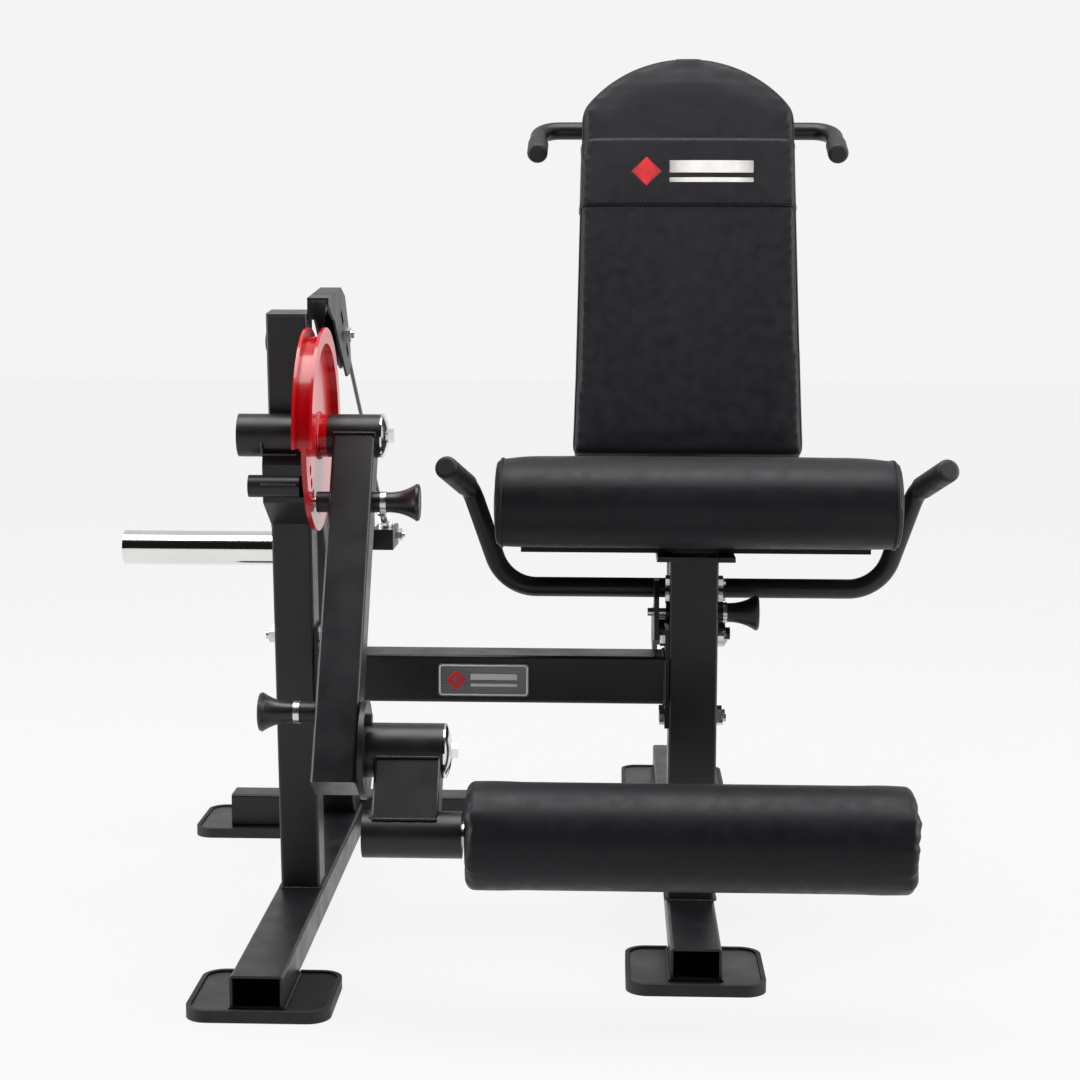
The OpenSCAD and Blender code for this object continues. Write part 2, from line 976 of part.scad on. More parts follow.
module seat_cushion() {
    roll = 54;
    color("#1c1c1f") in_frame()
        intersection() {
            translate([seat_x - seat_w / 2, 0, 0])
                rotate([90, 0, 90])
                    linear_extrude(seat_w)
                        union() {
                            translate([208 + roll, seat_z + 4 + roll])
                                circle(roll);
                            polygon([[208 + roll, seat_z + 4], [578, seat_z + 4], [582, seat_z + 8],
                                     [582, seat_z + 80], [576, seat_z + 86], [208 + roll, seat_z + 4 + 2 * roll]]);
                        }
            translate([seat_x, 0, 0])
                linear_extrude(1000)
                    polygon([[-seat_w / 2, 200], [seat_w / 2, 200], [seat_w / 2, 330],
                             [seat_back_w / 2, 600], [-seat_back_w / 2, 600], [-seat_w / 2, 330]]);
        }
}

function bar_points(s) = [
    [seat_x + s * bar_half, bar_y, bar_z],
    [seat_x + s * grip_bend[0], grip_bend[1], grip_bend[2]],
    [seat_x + s * grip_tip[0], grip_tip[1], grip_tip[2]]
];

bar_bends = [24, 56, 56, 24];
sleeve_len_grip = 88;
module seat_handlebar() {
    left = bar_points(-1);
    right = bar_points(1);
    tip = 5;
    color("#141416") in_frame()
        swept(rounded_path([left[2] - unit(left[2] - left[1]) * tip, left[1], left[0], right[0], right[1],
                            right[2] - unit(right[2] - right[1]) * tip], bar_bends), tube_r, 20);
}

module seat_grips() {
    color("#0f0f11") in_frame()
        for (s = [-1, 1]) {
            p = bar_points(s);
            grip(p[2] - unit(p[2] - p[1]) * sleeve_len_grip, p[2], grip_r, tube_r + fit);
        }
}

module at_seat_pin() {
    translate([seat_x, seat_post_y, seat_pin_z])
        children();
}

plate_x = seat_x - seat_post_w / 2 - 19;
module seat_pin() {
    color("#b9bdc0") in_frame()
        at_seat_pin() {
            rod_x(plate_x - 8 - seat_x, 37, 5);
            rod_x(37.2, 42, 13);
            rod_x(42, 76, 5);
        }
}

module seat_knob() {
    color("#0e0e10") in_frame()
        at_seat_pin()
            translate([42, 0, 0])
                knob(40);
}

// ---- back rest ----
module at_tilt() {
    translate([seat_x, tilt_y, tilt_z])
        children();
}

// two ears behind the seat post with the bolt that the back frame turns on
module back_pivot() {
    color("#17171a") in_frame()
        difference() {
            for (s = [-1, 1])
                translate([seat_x + s * 29 - 3, seat_post_y + seat_post_w / 2, tilt_z - 26])
                    cube([6, tilt_y - seat_post_y - seat_post_w / 2 + 20, 50]);
            at_tilt()
                rod_x(-60, 60, 8);
        }
    color("#b9bdc0") in_frame()
        at_tilt()
            bolt_x(-32, 32, 16);
}

pin_reach = norm([seat_post_y - tilt_y, seat_pin_z - tilt_z]);
pin_angle = atan2(seat_pin_z - tilt_z, seat_post_y - tilt_y);
slot_r = 5.5;
slot_lo = -4.6;
slot_hi = 8.6;
slot_end = 3.2;

// curved slot for the seat pin, centred on the tilt axis
module tilt_slot() {
    at_tilt()
        translate([plate_x - seat_x - 1, 0, 0])
            rotate([pin_angle + 90 + slot_lo - slot_end, 0, 0])
                rotate([0, 90, 0])
                    rotate_extrude(angle = slot_hi - slot_lo + 2 * slot_end)
                        translate([pin_reach - slot_r, 0])
                            square([2 * slot_r, 8]);
}

// swinging carrier with its slotted side plate
module back_carrier() {
    color("#17171a") in_frame()
        difference() {
            union() {
                at_tilt() {
                    rod_x(-25.4, 25.4, 27);
                    rotate([-90, 0, 0])
                        translate([0, 0, 10])
                            steel_tube(carrier_w, carrier_w, carrier_y - tilt_y + 28);
                }
                for (y = [472, 492])
                    translate([plate_x, y, tilt_z - 12])
                        cube([seat_x - carrier_w / 2 - plate_x + 1, 10, 24]);
                translate([plate_x, 0, 0])
                    rotate([90, 0, 90])
                        linear_extrude(6)
                            polygon([[322, 384], [326, 436], [338, 456], [366, 456], [380, 420],
                                     [440, 402], [506, 396], [506, 354], [430, 348], [386, 374]]);
            }
            at_tilt()
                rod_x(-60, 60, 8 + fit);
            tilt_slot();
        }
}

// upright behind the pad, standing on the carrier
module back_upright() {
    color("#17171a") in_frame()
        difference() {
            translate([seat_x, carrier_y, tilt_z])
                rotate([-recline, 0, 0])
                    steel_tube(carrier_w, carrier_w, carrier_len);
            translate([seat_x - 50, carrier_y - 100, tilt_z - 100])
                cube([100, 200, 100 + carrier_w / 2]);
        }
}

// along_pad() has its origin at the bottom front edge of the back cushion,
// z up the cushion and +y through its thickness
module along_pad() {
    translate([seat_x, pad_y, pad_z])
        rotate([-recline, 0, 0])
            children();
}

module pad_outline(w0, w1, len) {
    dome_r = 180;
    cy = len - dome_r;
    intersection() {
        union() {
            polygon([[-w0 / 2, 0], [w0 / 2, 0], [w1 / 2, len - 90], [-w1 / 2, len - 90]]);
            translate([0, cy])
                circle(dome_r, $fn = 120);
        }
        polygon([[-w0 / 2, 0], [w0 / 2, 0], [w1 / 2, len - 90], [w1 / 2 - 6, len],
                 [-w1 / 2 + 6, len], [-w1 / 2, len - 90]]);
    }
}

module back_cushion() {
    color("#1c1c1f") in_frame()
        along_pad()
            translate([0, pad_t, 0])
                rotate([90, 0, 0])
                    linear_extrude(pad_t)
                        pad_outline(back_w, back_w - 16, pad_len);
}

module back_board() {
    color("#3a2f26") in_frame()
        along_pad()
            translate([0, pad_t + board_gap + board_t, 18])
                rotate([90, 0, 0])
                    linear_extrude(board_t)
                        pad_outline(back_w - 40, back_w - 56, pad_len - 36);
}

// handle tube behind the cushion with forward-bent ends
back_bar_y = carrier_y + (carrier_len + 12.5) * sin(recline);
back_bar_z = tilt_z + (carrier_len + 12.5) * cos(recline);
function back_bar(s) = [
    [seat_x + s * 211, back_bar_y, back_bar_z],
    [seat_x + s * 211, back_bar_y - 88, back_bar_z - 38]
];

module back_handlebar() {
    tip = 5;
    l = back_bar(-1);
    r = back_bar(1);
    color("#141416") in_frame()
        swept(rounded_path([l[1] - unit(l[1] - l[0]) * tip, l[0], r[0], r[1] - unit(r[1] - r[0]) * tip], 30),
              tube_r, 20);
}

module back_grips() {
    color("#0f0f11") in_frame()
        for (s = [-1, 1]) {
            p = back_bar(s);
            grip(p[1] - unit(p[1] - p[0]) * 38, p[1], grip_r, tube_r + fit);
        }
}

tower_base_beam();
rear_cross_tube();
seat_base_beam();
foot_front_left();
foot_rear_left();
foot_front_right();
foot_rear_right();
foot_plates();
tower_post();
tower_post_cap();
post_plug();
rear_brace();
crossbeam();
frame_bolts();
name_plate();
pivot_housing();
pivot_gusset();
stop_tube();
pivot_axle();
pulley_bracket();
pulley();
pulley_bolt();
cam();
cable_anchor();
lever_arm();
lever_end_cap();
shin_axle();
upper_pin_housing();
lower_pin_housing();
upper_pin();
upper_knob();
lower_pin();
lower_knob();
shin_arm();
shin_quadrant();
roller_axle();
roller_core();
roller_pad();
arm_pivot_ears();
arm_pivot_bolt();
arm_stop();
weight_arm();
weight_sleeve();
cable_tower();
cable_upper();
cable_lower();
cable_clevis();
seat_post();
seat_mount();
seat_board();
seat_cushion();
seat_handlebar();
seat_grips();
seat_pin();
seat_knob();
back_pivot();
back_carrier();
back_upright();
back_board();
back_cushion();
back_handlebar();
back_grips();
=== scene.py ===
"""Plate-loaded leg extension machine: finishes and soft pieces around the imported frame."""

import math

import bmesh
import bpy
from mathutils import Matrix, Vector, noise


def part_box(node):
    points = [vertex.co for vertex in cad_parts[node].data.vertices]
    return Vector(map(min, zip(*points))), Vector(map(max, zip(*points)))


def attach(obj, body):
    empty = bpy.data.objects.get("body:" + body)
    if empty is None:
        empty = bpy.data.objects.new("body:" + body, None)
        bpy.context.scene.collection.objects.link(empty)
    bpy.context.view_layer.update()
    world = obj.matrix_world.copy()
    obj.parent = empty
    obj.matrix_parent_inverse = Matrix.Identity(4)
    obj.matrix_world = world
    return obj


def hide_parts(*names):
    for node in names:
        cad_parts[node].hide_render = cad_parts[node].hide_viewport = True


bl_info = {
    "name": "Leg extension machine",
    "version": (1, 0, 0),
    "blender": (4, 5, 0),
    "location": "View3D > Sidebar > Leg extension",
    "description": "Upholstery, handles, cables, welds and finishes of a plate-loaded leg extension machine",
    "category": "Object",
}

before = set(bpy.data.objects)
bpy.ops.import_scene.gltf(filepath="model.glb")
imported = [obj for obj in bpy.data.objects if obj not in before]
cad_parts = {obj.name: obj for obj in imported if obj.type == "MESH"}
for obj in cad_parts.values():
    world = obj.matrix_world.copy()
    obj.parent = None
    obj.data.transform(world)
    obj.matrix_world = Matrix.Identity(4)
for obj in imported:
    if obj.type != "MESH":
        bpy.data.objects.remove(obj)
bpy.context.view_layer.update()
MM = 0.001

# the point x = 0, y = 0 of the machine's own layout, in the row frame
_tower_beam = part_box("tower_base_beam")
_tower_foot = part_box("foot_front_left")
ORIGIN = Vector(((_tower_beam[0][0] + _tower_beam[1][0]) / 2 + 8 * MM, _tower_foot[0][1], 0))
SEAT_X = (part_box("seat_base_beam")[0][0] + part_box("seat_base_beam")[1][0]) / 2


def at(x, y, z):
    """A point of the machine's layout in millimetres, as a point of the row frame."""
    return ORIGIN + Vector((x, y, z)) * MM


# --------------------------------------------------------------------------------------
# settings


class LEGEXT_Finishes(bpy.types.PropertyGroup):
    """Colours of the paint, the vinyl and the bright parts."""

    def colour(name, text, rgb):
        return bpy.props.FloatVectorProperty(
            name=name, description=text, subtype="COLOR", size=3, min=0, max=1, default=rgb
        )

    powder: colour("Powder coat", "Black powder coat of the steel frame", (0.0055, 0.0054, 0.0066))
    cam_red: colour("Cam red", "Gloss red paint of the cam", (0.50, 0.003, 0.007))
    vinyl: colour("Vinyl", "Upholstery vinyl of the cushions and the roller", (0.0058, 0.0055, 0.0072))
    rubber: colour("Rubber", "Rubber of the feet and the hand grips", (0.012, 0.012, 0.012))
    plastic: colour("Plastic", "Moulded plastic of the caps, knobs and pulley", (0.010, 0.010, 0.011))
    zinc: colour("Zinc", "Zinc plate of the bolts, nuts and plungers", (0.66, 0.68, 0.70))
    chrome: colour("Chrome", "Polished chrome of the weight sleeve and washers", (0.80, 0.79, 0.77))
    badge: colour("Badge", "Brushed metal of the name plate", (0.16, 0.16, 0.165))
    jacket: colour("Cable jacket", "Nylon jacket of the steel cable", (0.009, 0.009, 0.010))
    backing: colour("Backing", "Backing cloth over the boards under the cushions", (0.009, 0.009, 0.010))
    mark_red: colour("Red mark", "Red thread and enamel of the plain marks", (0.62, 0.004, 0.010))
    mark_pale: colour("Pale mark", "Pale thread and enamel of the plain marks", (0.72, 0.69, 0.66))


class LEGEXT_Upholstery(bpy.types.PropertyGroup):
    """Sizes of the sewn and stuffed pieces."""

    def length(name, text, value, low, high):
        return bpy.props.FloatProperty(
            name=name, description=text, default=value, min=low, max=high, unit="LENGTH", precision=4
        )

    voxel: length("Voxel", "Remesh size of a cushion before it is inflated", 0.0055, 0.003, 0.01)
    swell: length("Swell", "Most that a point of a cushion moves as it fills", 0.0055, 0.001, 0.02)
    piping: length("Piping", "Radius of the piping along the cushion seams", 0.0019, 0.001, 0.005)
    stitch: length("Stitch", "Length of one stitch", 0.0034, 0.001, 0.01)
    stitch_gap: length("Stitch pitch", "Distance from one stitch to the next", 0.0052, 0.002, 0.02)
    band_low: length("Band bottom", "Bottom of the wide band up the back cushion", 0.353, 0.3, 0.45)
    band_high: length("Band top", "Top of the wide band up the back cushion", 0.452, 0.4, 0.52)
    gather: length("Gather", "Depth of the folds at the ends of the roller", 0.0026, 0.0, 0.006)


class LEGEXT_Welds(bpy.types.PropertyGroup):
    """Sizes of the weld beads."""

    width: bpy.props.FloatProperty(
        name="Width", description="Width of a weld bead", default=0.0058, min=0.002, max=0.01, unit="LENGTH"
    )
    pitch: bpy.props.FloatProperty(
        name="Pitch",
        description="Distance between ripples of a bead",
        default=0.0024,
        min=0.001,
        max=0.01,
        unit="LENGTH",
    )


class LEGEXT_Stage(bpy.types.PropertyGroup):
    """Camera and light."""

    lens: bpy.props.FloatProperty(
        name="Lens", description="Focal length in millimetres", default=70.3, min=20, max=200
    )
    key: bpy.props.FloatProperty(
        name="Side light", description="Power of each side soft box in watts", default=95, min=0, max=1000
    )
    floor: bpy.props.FloatVectorProperty(
        name="Floor",
        description="Colour that the glowing studio floor reflects",
        subtype="COLOR",
        size=3,
        min=0,
        max=1,
        default=(0.05, 0.05, 0.05),
    )


def settings(name):
    return getattr(bpy.context.scene, "legext_" + name)


# --------------------------------------------------------------------------------------
# materials

_looks = {}


class Look:
    """Builds one Principled material, with short calls for the nodes it uses."""

    def __init__(self, name, colour, rough, metal=0.0, spec=0.5, coat=0.0, coat_rough=0.1, sheen=0.0):
        self.mat = bpy.data.materials.new(name)
        self.mat.use_nodes = True
        self.tree = self.mat.node_tree
        self.shader = self.tree.nodes["Principled BSDF"]
        self.set("Base Color", (*colour, 1))
        self.set("Roughness", rough)
        self.set("Metallic", metal)
        self.set("Specular IOR Level", spec)
        self.set("Coat Weight", coat)
        self.set("Coat Roughness", coat_rough)
        self.set("Sheen Weight", sheen)
        self.colour, self.rough = colour, rough
        self.where = self.node("ShaderNodeTexCoord").outputs["Object"]
        self.height = None
        _looks[name] = self.mat

    def set(self, socket, value):
        self.shader.inputs[socket].default_value = value

    def node(self, kind, **values):
        n = self.tree.nodes.new(kind)
        for k, v in values.items():
            if k in n.inputs:
                n.inputs[k].default_value = v
            else:
                setattr(n, k, v)
        return n

    def link(self, a, b):
        self.tree.links.new(a, b)

    def stretched(self, scale):
        m = self.node("ShaderNodeMapping")
        m.inputs["Scale"].default_value = scale
        self.link(self.where, m.inputs["Vector"])
        return m.outputs["Vector"]

    def noise(self, scale, detail=3.0, rough=0.55, stretch=None):
        n = self.node("ShaderNodeTexNoise", Scale=scale, Detail=detail, Roughness=rough)
        self.link(self.stretched(stretch) if stretch else self.where, n.inputs["Vector"])
        return n.outputs["Fac"]

    def cells(self, scale, feature="F1"):
        n = self.node("ShaderNodeTexVoronoi", feature=feature, Scale=scale)
        self.link(self.where, n.inputs["Vector"])
        return n.outputs["Distance"]

    def span(self, value, low, high, to_low, to_high):
        n = self.node("ShaderNodeMapRange")
        for k, v in zip(("From Min", "From Max", "To Min", "To Max"), (low, high, to_low, to_high)):
            n.inputs[k].default_value = v
        self.link(value, n.inputs["Value"])
        return n.outputs["Result"]

    def vary_rough(self, value, amount, low=0.35, high=0.65):
        varied = self.span(value, low, high, self.rough - amount, self.rough + amount)
        self.link(varied, self.shader.inputs["Roughness"])

    def vary_colour(self, value, other, low=0.35, high=0.65):
        m = self.node("ShaderNodeMix", data_type="RGBA")
        for s, c in ((6, self.colour), (7, other)):
            m.inputs[s].default_value = (*c, 1)
        self.link(self.span(value, low, high, 0, 1), m.inputs[0])
        self.link(m.outputs[2], self.shader.inputs["Base Color"])

    def bump(self, value, strength, distance):
        b = self.node("ShaderNodeBump", Strength=strength, Distance=distance)
        self.link(value, b.inputs["Height"])
        if self.height is not None:
            self.link(self.height, b.inputs["Normal"])
        self.height = b.outputs["Normal"]
        self.link(self.height, self.shader.inputs["Normal"])


def tint(colour, k):
    return tuple(min(1.0, c * k) for c in colour)


def make_looks():
    f = settings("finishes")
    k = Look("powder_coat", f.powder, 0.38, spec=0.40)
    k.vary_colour(k.noise(6, 4), tint(f.powder, 1.35))
    k.vary_rough(k.noise(24, 4), 0.05)
    k.bump(k.noise(1400, 2), 0.16, 0.0003)
    k.bump(k.noise(260, 2), 0.10, 0.0005)

    k = Look("cam_paint", f.cam_red, 0.20, spec=0.4, coat=0.3, coat_rough=0.08)
    k.vary_colour(k.noise(9, 3), tint(f.cam_red, 0.82))
    k.bump(k.noise(420, 2), 0.10, 0.0004)
    k.bump(k.noise(38, 2), 0.12, 0.0012)

    k = Look("vinyl", f.vinyl, 0.47, spec=0.21, sheen=0.012)
    k.set("Sheen Roughness", 0.45)
    k.vary_colour(k.noise(5, 3), tint(f.vinyl, 1.4))
    k.vary_rough(k.noise(60, 4), 0.06)
    k.bump(k.cells(900, "DISTANCE_TO_EDGE"), 0.16, 0.0004)
    k.bump(k.noise(1500, 3), 0.12, 0.0003)
    k.bump(k.noise(16, 2), 0.10, 0.003)

    k = Look("thread", tint(f.vinyl, 1.6), 0.62, spec=0.3, sheen=0.2)
    k.bump(k.noise(2600, 2), 0.3, 0.0002)

    k = Look("rubber", f.rubber, 0.62, spec=0.36)
    k.vary_colour(k.noise(14, 4), tint(f.rubber, 1.5))
    k.vary_rough(k.noise(45, 3), 0.07)
    k.bump(k.noise(1800, 3), 0.3, 0.0003)

    k = Look("foam_rubber", tint(f.rubber, 1.1), 0.55, spec=0.4)
    k.vary_rough(k.noise(80, 3), 0.07)
    k.bump(k.cells(700), 0.2, 0.0003)
    k.bump(k.noise(2200, 2), 0.15, 0.0002)

    k = Look("plastic", f.plastic, 0.33, spec=0.45)
    k.vary_rough(k.noise(40, 3), 0.05)
    k.bump(k.noise(1900, 2), 0.14, 0.0002)

    k = Look("zinc_plate", f.zinc, 0.27, metal=1.0)
    k.vary_colour(k.noise(55, 3), (0.60, 0.60, 0.56))
    k.vary_rough(k.noise(130, 4), 0.09)
    k.bump(k.noise(900, 3), 0.2, 0.0002)

    k = Look("chrome", f.chrome, 0.085, metal=1.0)
    k.vary_colour(k.noise(12, 3), tint(f.chrome, 0.95))
    k.vary_rough(k.noise(1.0, 5, stretch=(900, 900, 900)), 0.02)
    k.bump(k.noise(1.0, 4, stretch=(40, 2400, 2400)), 0.05, 0.0001)

    k = Look("badge_metal", f.badge, 0.38, metal=0.85)
    k.vary_colour(k.noise(1.0, 4, stretch=(18, 900, 2400)), tint(f.badge, 1.6))
    k.bump(k.noise(1.0, 4, stretch=(30, 1200, 3000)), 0.25, 0.0001)

    k = Look("badge_edge", (0.50, 0.50, 0.50), 0.5, metal=0.3)
    k.vary_rough(k.noise(300, 3), 0.08)

    k = Look("cable_jacket", f.jacket, 0.30, spec=0.5, coat=0.25)
    k.bump(k.noise(500, 2), 0.3, 0.0003)

    k = Look("backing_cloth", f.backing, 0.85, spec=0.2, sheen=0.1)
    k.vary_colour(k.noise(300, 4), tint(f.backing, 1.8))
    k.bump(k.noise(1.0, 3, stretch=(1900, 700, 1900)), 0.35, 0.0004)

    k = Look("mark_red", f.mark_red, 0.5, spec=0.4, sheen=0.1)
    k.vary_colour(k.noise(60, 2), tint(f.mark_red, 0.75))
    k.bump(k.noise(1.0, 2, stretch=(2400, 300, 300)), 0.5, 0.0003)

    k = Look("mark_pale", f.mark_pale, 0.6, spec=0.25)
    k.vary_colour(k.noise(60, 2), tint(f.mark_pale, 0.9))
    k.bump(k.noise(1.0, 2, stretch=(2400, 300, 300)), 0.15, 0.0002)


# CAD nodes by finish
FINISH = {
    "powder_coat": """tower_base_beam rear_cross_tube seat_base_beam foot_plates tower_post rear_brace
        crossbeam pivot_housing pivot_gusset stop_tube pulley_bracket lever_arm upper_pin_housing
        lower_pin_housing shin_arm shin_quadrant arm_pivot_ears weight_arm seat_post seat_mount
        back_carrier back_upright back_pivot""",
    "cam_paint": "cam",
    "rubber": "foot_front_left foot_rear_left foot_front_right foot_rear_right arm_stop",
    "foam_rubber": "seat_grips back_grips",
    "plastic": "tower_post_cap post_plug lever_end_cap pulley upper_knob lower_knob seat_knob roller_core",
    "zinc_plate": """frame_bolts pulley_bolt cable_anchor upper_pin lower_pin arm_pivot_bolt cable_clevis
        seat_pin roller_axle""",
    "chrome": "pivot_axle shin_axle weight_sleeve",
    "badge_metal": "name_plate",
    "backing_cloth": "seat_board back_board",
}


# --------------------------------------------------------------------------------------
# mesh helpers


def new_piece(name, mesh, look, body):
    obj = bpy.data.objects.new(name, mesh)
    bpy.context.scene.collection.objects.link(obj)
    if look:
        mesh.materials.clear()
        mesh.materials.append(_looks[look])
    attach(obj, body)
    return obj


def smooth(mesh):
    mesh.polygons.foreach_set("use_smooth", [True] * len(mesh.polygons))


def sharp_by_angle(mesh, degrees):
    """Smooth shading with sharp edges where two faces meet at more than this angle."""
    smooth(mesh)
    bm = bmesh.new()
    bm.from_mesh(mesh)
    limit = math.radians(degrees)
    for e in bm.edges:
        e.smooth = not (len(e.link_faces) == 2 and e.calc_face_angle(0) > limit)
    bm.to_mesh(mesh)
    bm.free()


def rounded_path(points, radius, steps=10):
    """The path through points with its inner corners turned on one radius, or on one for each."""
    radii = radius if isinstance(radius, list) else [radius] * (len(points) - 2)
    path = [points[0]]
    for p, q, s, radius in zip(points, points[1:], points[2:], radii):
        u, v = (p - q).normalized(), (s - q).normalized()
        turn = math.pi - u.angle(v)
        start = q + u * radius * math.tan(turn / 2)
        centre = q + (u + v).normalized() * radius / math.cos(turn / 2)
        ex = (start - centre).normalized()
        path += [
            centre + radius * (ex * math.cos(turn * k / steps) - u * math.sin(turn * k / steps))
            for k in range(steps + 1)
        ]
    return path + [points[-1]]


def tube_mesh(name, path, radius, sides=32, closed=False, ends=True):
    """A round tube along a path, with flat ends. radius is one number or one for each ring."""
    radii = radius if isinstance(radius, (list, tuple)) else [radius] * len(path)
    count = len(path)
    tangents = []
    for i in range(count):
        a = path[i - 1] if i or closed else path[i]
        b = path[(i + 1) % count] if i < count - 1 or closed else path[i]
        tangents.append((b - a).normalized())
    n = tangents[0].orthogonal().normalized()
    rings = []
    for p, t, r in zip(path, tangents, radii):
        n = (n - t * n.dot(t)).normalized()
        b = t.cross(n)
        rings.append(
            [
                p + r * (n * math.cos(2 * math.pi * k / sides) + b * math.sin(2 * math.pi * k / sides))
                for k in range(sides)
            ]
        )
    verts = [v for ring in rings for v in ring]
    faces = []
    for i in range(count if closed else count - 1):
        j = (i + 1) % count
        for k in range(sides):
            m = (k + 1) % sides
            faces.append((i * sides + k, i * sides + m, j * sides + m, j * sides + k))
    if ends and not closed:
        faces.append(tuple(reversed(range(sides))))
        faces.append(tuple((count - 1) * sides + k for k in range(sides)))
    mesh = bpy.data.meshes.new(name)
    mesh.from_pydata(verts, [], faces)
    bm = bmesh.new()
    bm.from_mesh(mesh)
    bmesh.ops.recalc_face_normals(bm, faces=bm.faces)
    bm.to_mesh(mesh)
    bm.free()
    return mesh


def copy_of_node(node, name):
    """A merged copy of a CAD node's mesh, as a free object."""
    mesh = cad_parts[node].data.copy()
    mesh.name = name
    bm = bmesh.new()
    bm.from_mesh(mesh)
    bmesh.ops.remove_doubles(bm, verts=bm.verts, dist=1e-5)
    bmesh.ops.recalc_face_normals(bm, faces=bm.faces)
    bm.to_mesh(mesh)
    bm.free()
    obj = bpy.data.objects.new(name, mesh)
    bpy.context.scene.collection.objects.link(obj)
    return obj


def apply_modifiers(obj):
    deps = bpy.context.evaluated_depsgraph_get()
    mesh = bpy.data.meshes.new_from_object(obj.evaluated_get(deps), depsgraph=deps)
    obj.modifiers.clear()
    obj.data = mesh
    return mesh


def even_out(mesh, moves, rounds):
    """The given moves of a mesh's points with the creases between neighbours averaged away."""
    near = [[] for _ in moves]
    for e in mesh.edges:
        a, b = e.vertices
        near[a].append(b)
        near[b].append(a)
    for _ in range(rounds):
        moves = [(d + sum((moves[j] for j in js), Vector())) / (len(js) + 1) for d, js in zip(moves, near)]
    return moves


def stuffed(node, name, voxel, inset, swell, hold):
    """The CAD solid remeshed, drawn in by inset and blown up as cloth, with its movement capped at swell."""
    obj = copy_of_node(node, name)
    m = obj.modifiers.new("remesh", "REMESH")
    m.mode = "VOXEL"
    m.voxel_size = voxel
    apply_modifiers(obj)
    mesh = obj.data
    bm = bmesh.new()
    bm.from_mesh(mesh)
    for _ in range(2):
        bmesh.ops.smooth_vert(
            bm, verts=bm.verts, factor=0.5, use_axis_x=True, use_axis_y=True, use_axis_z=True
        )
    bm.normal_update()
    normals = [v.normal.copy() for v in bm.verts]
    for v, n in zip(bm.verts, normals):
        v.co -= n * inset
    bm.to_mesh(mesh)
    bm.free()
    start = [v.co.copy() for v in mesh.vertices]
    cloth = obj.modifiers.new("fill", "CLOTH")
    c = cloth.settings
    c.quality = 5
    c.mass = 0.3
    c.use_pressure = True
    c.uniform_pressure_force = 4
    c.tension_stiffness = 15
    c.compression_stiffness = 15
    c.bending_stiffness = 0.6
    c.effector_weights.gravity = 0
    cloth.collision_settings.use_collision = False
    scene = bpy.context.scene
    for step in range(1, 21):
        scene.frame_set(step)
        bpy.context.view_layer.update()
    apply_modifiers(obj)
    scene.frame_set(1)
    mesh = obj.data
    moves = []
    for v, s, n in zip(mesh.vertices, start, normals):
        d = v.co - s
        d += n * max(0.0, -d.dot(n))
        cap = swell * hold(s)
        moves.append(d * min(1.0, cap / max(d.length, 1e-9)))
    evened = even_out(mesh, moves, 14)
    for v, s, d in zip(mesh.vertices, start, evened):
        v.co = s + d
    sub = obj.modifiers.new("finish", "SUBSURF")
    sub.levels = sub.render_levels = 1
    apply_modifiers(obj)
    smooth(obj.data)
    return obj


def outline(obj, point, normal, lift):
    """The closed line in which a plane cuts a stuffed piece, a little above its skin."""
    bm = bmesh.new()
    bm.from_mesh(obj.data)
    cut = bmesh.ops.bisect_plane(
        bm, geom=bm.verts[:] + bm.edges[:] + bm.faces[:], plane_co=point, plane_no=normal
    )["geom_cut"]
    bm.normal_update()
    spots = [v.co + v.normal * lift for v in cut if isinstance(v, bmesh.types.BMVert)]
    bm.free()
    mid = sum(spots, Vector()) / len(spots)
    across = normal.orthogonal().normalized()
    side = normal.cross(across)
    spots.sort(key=lambda p: math.atan2((p - mid).dot(side), (p - mid).dot(across)))
    line = spots[:1]
    for p in spots[1:]:
        if (p - line[-1]).length > 0.004:
            line.append(p)
    for _ in range(2):
        line = [(line[i - 1] + 2 * p + line[(i + 1) % len(line)]) / 4 for i, p in enumerate(line)]
    return line


def piping(name, lines, radius, body):
    """Covered cord sewn into the seams."""
    cords = []
    for line in lines:
        cord = tube_mesh(name, line, radius, 10, closed=True)
        smooth(cord)
        cord.materials.append(_looks["vinyl"])
        cords.append(cord)
    new_piece(name, joined(name, cords), "vinyl", body)


def joined(name, meshes):
    """Several meshes as one, keeping the places of their materials."""
    bm = bmesh.new()
    slots = []
    for mesh in meshes:
        look = mesh.materials[0] if mesh.materials else None
        if look not in slots:
            slots.append(look)
        first = len(bm.faces)
        bm.from_mesh(mesh)
        bm.faces.ensure_lookup_table()
        for f in bm.faces[first:]:
            f.material_index = slots.index(look)
    out = bpy.data.meshes.new(name)
    bm.to_mesh(out)
    bm.free()
    for look in slots:
        if look:
            out.materials.append(look)
    return out


# --------------------------------------------------------------------------------------
# geometry nodes: beads and stitches that follow a line


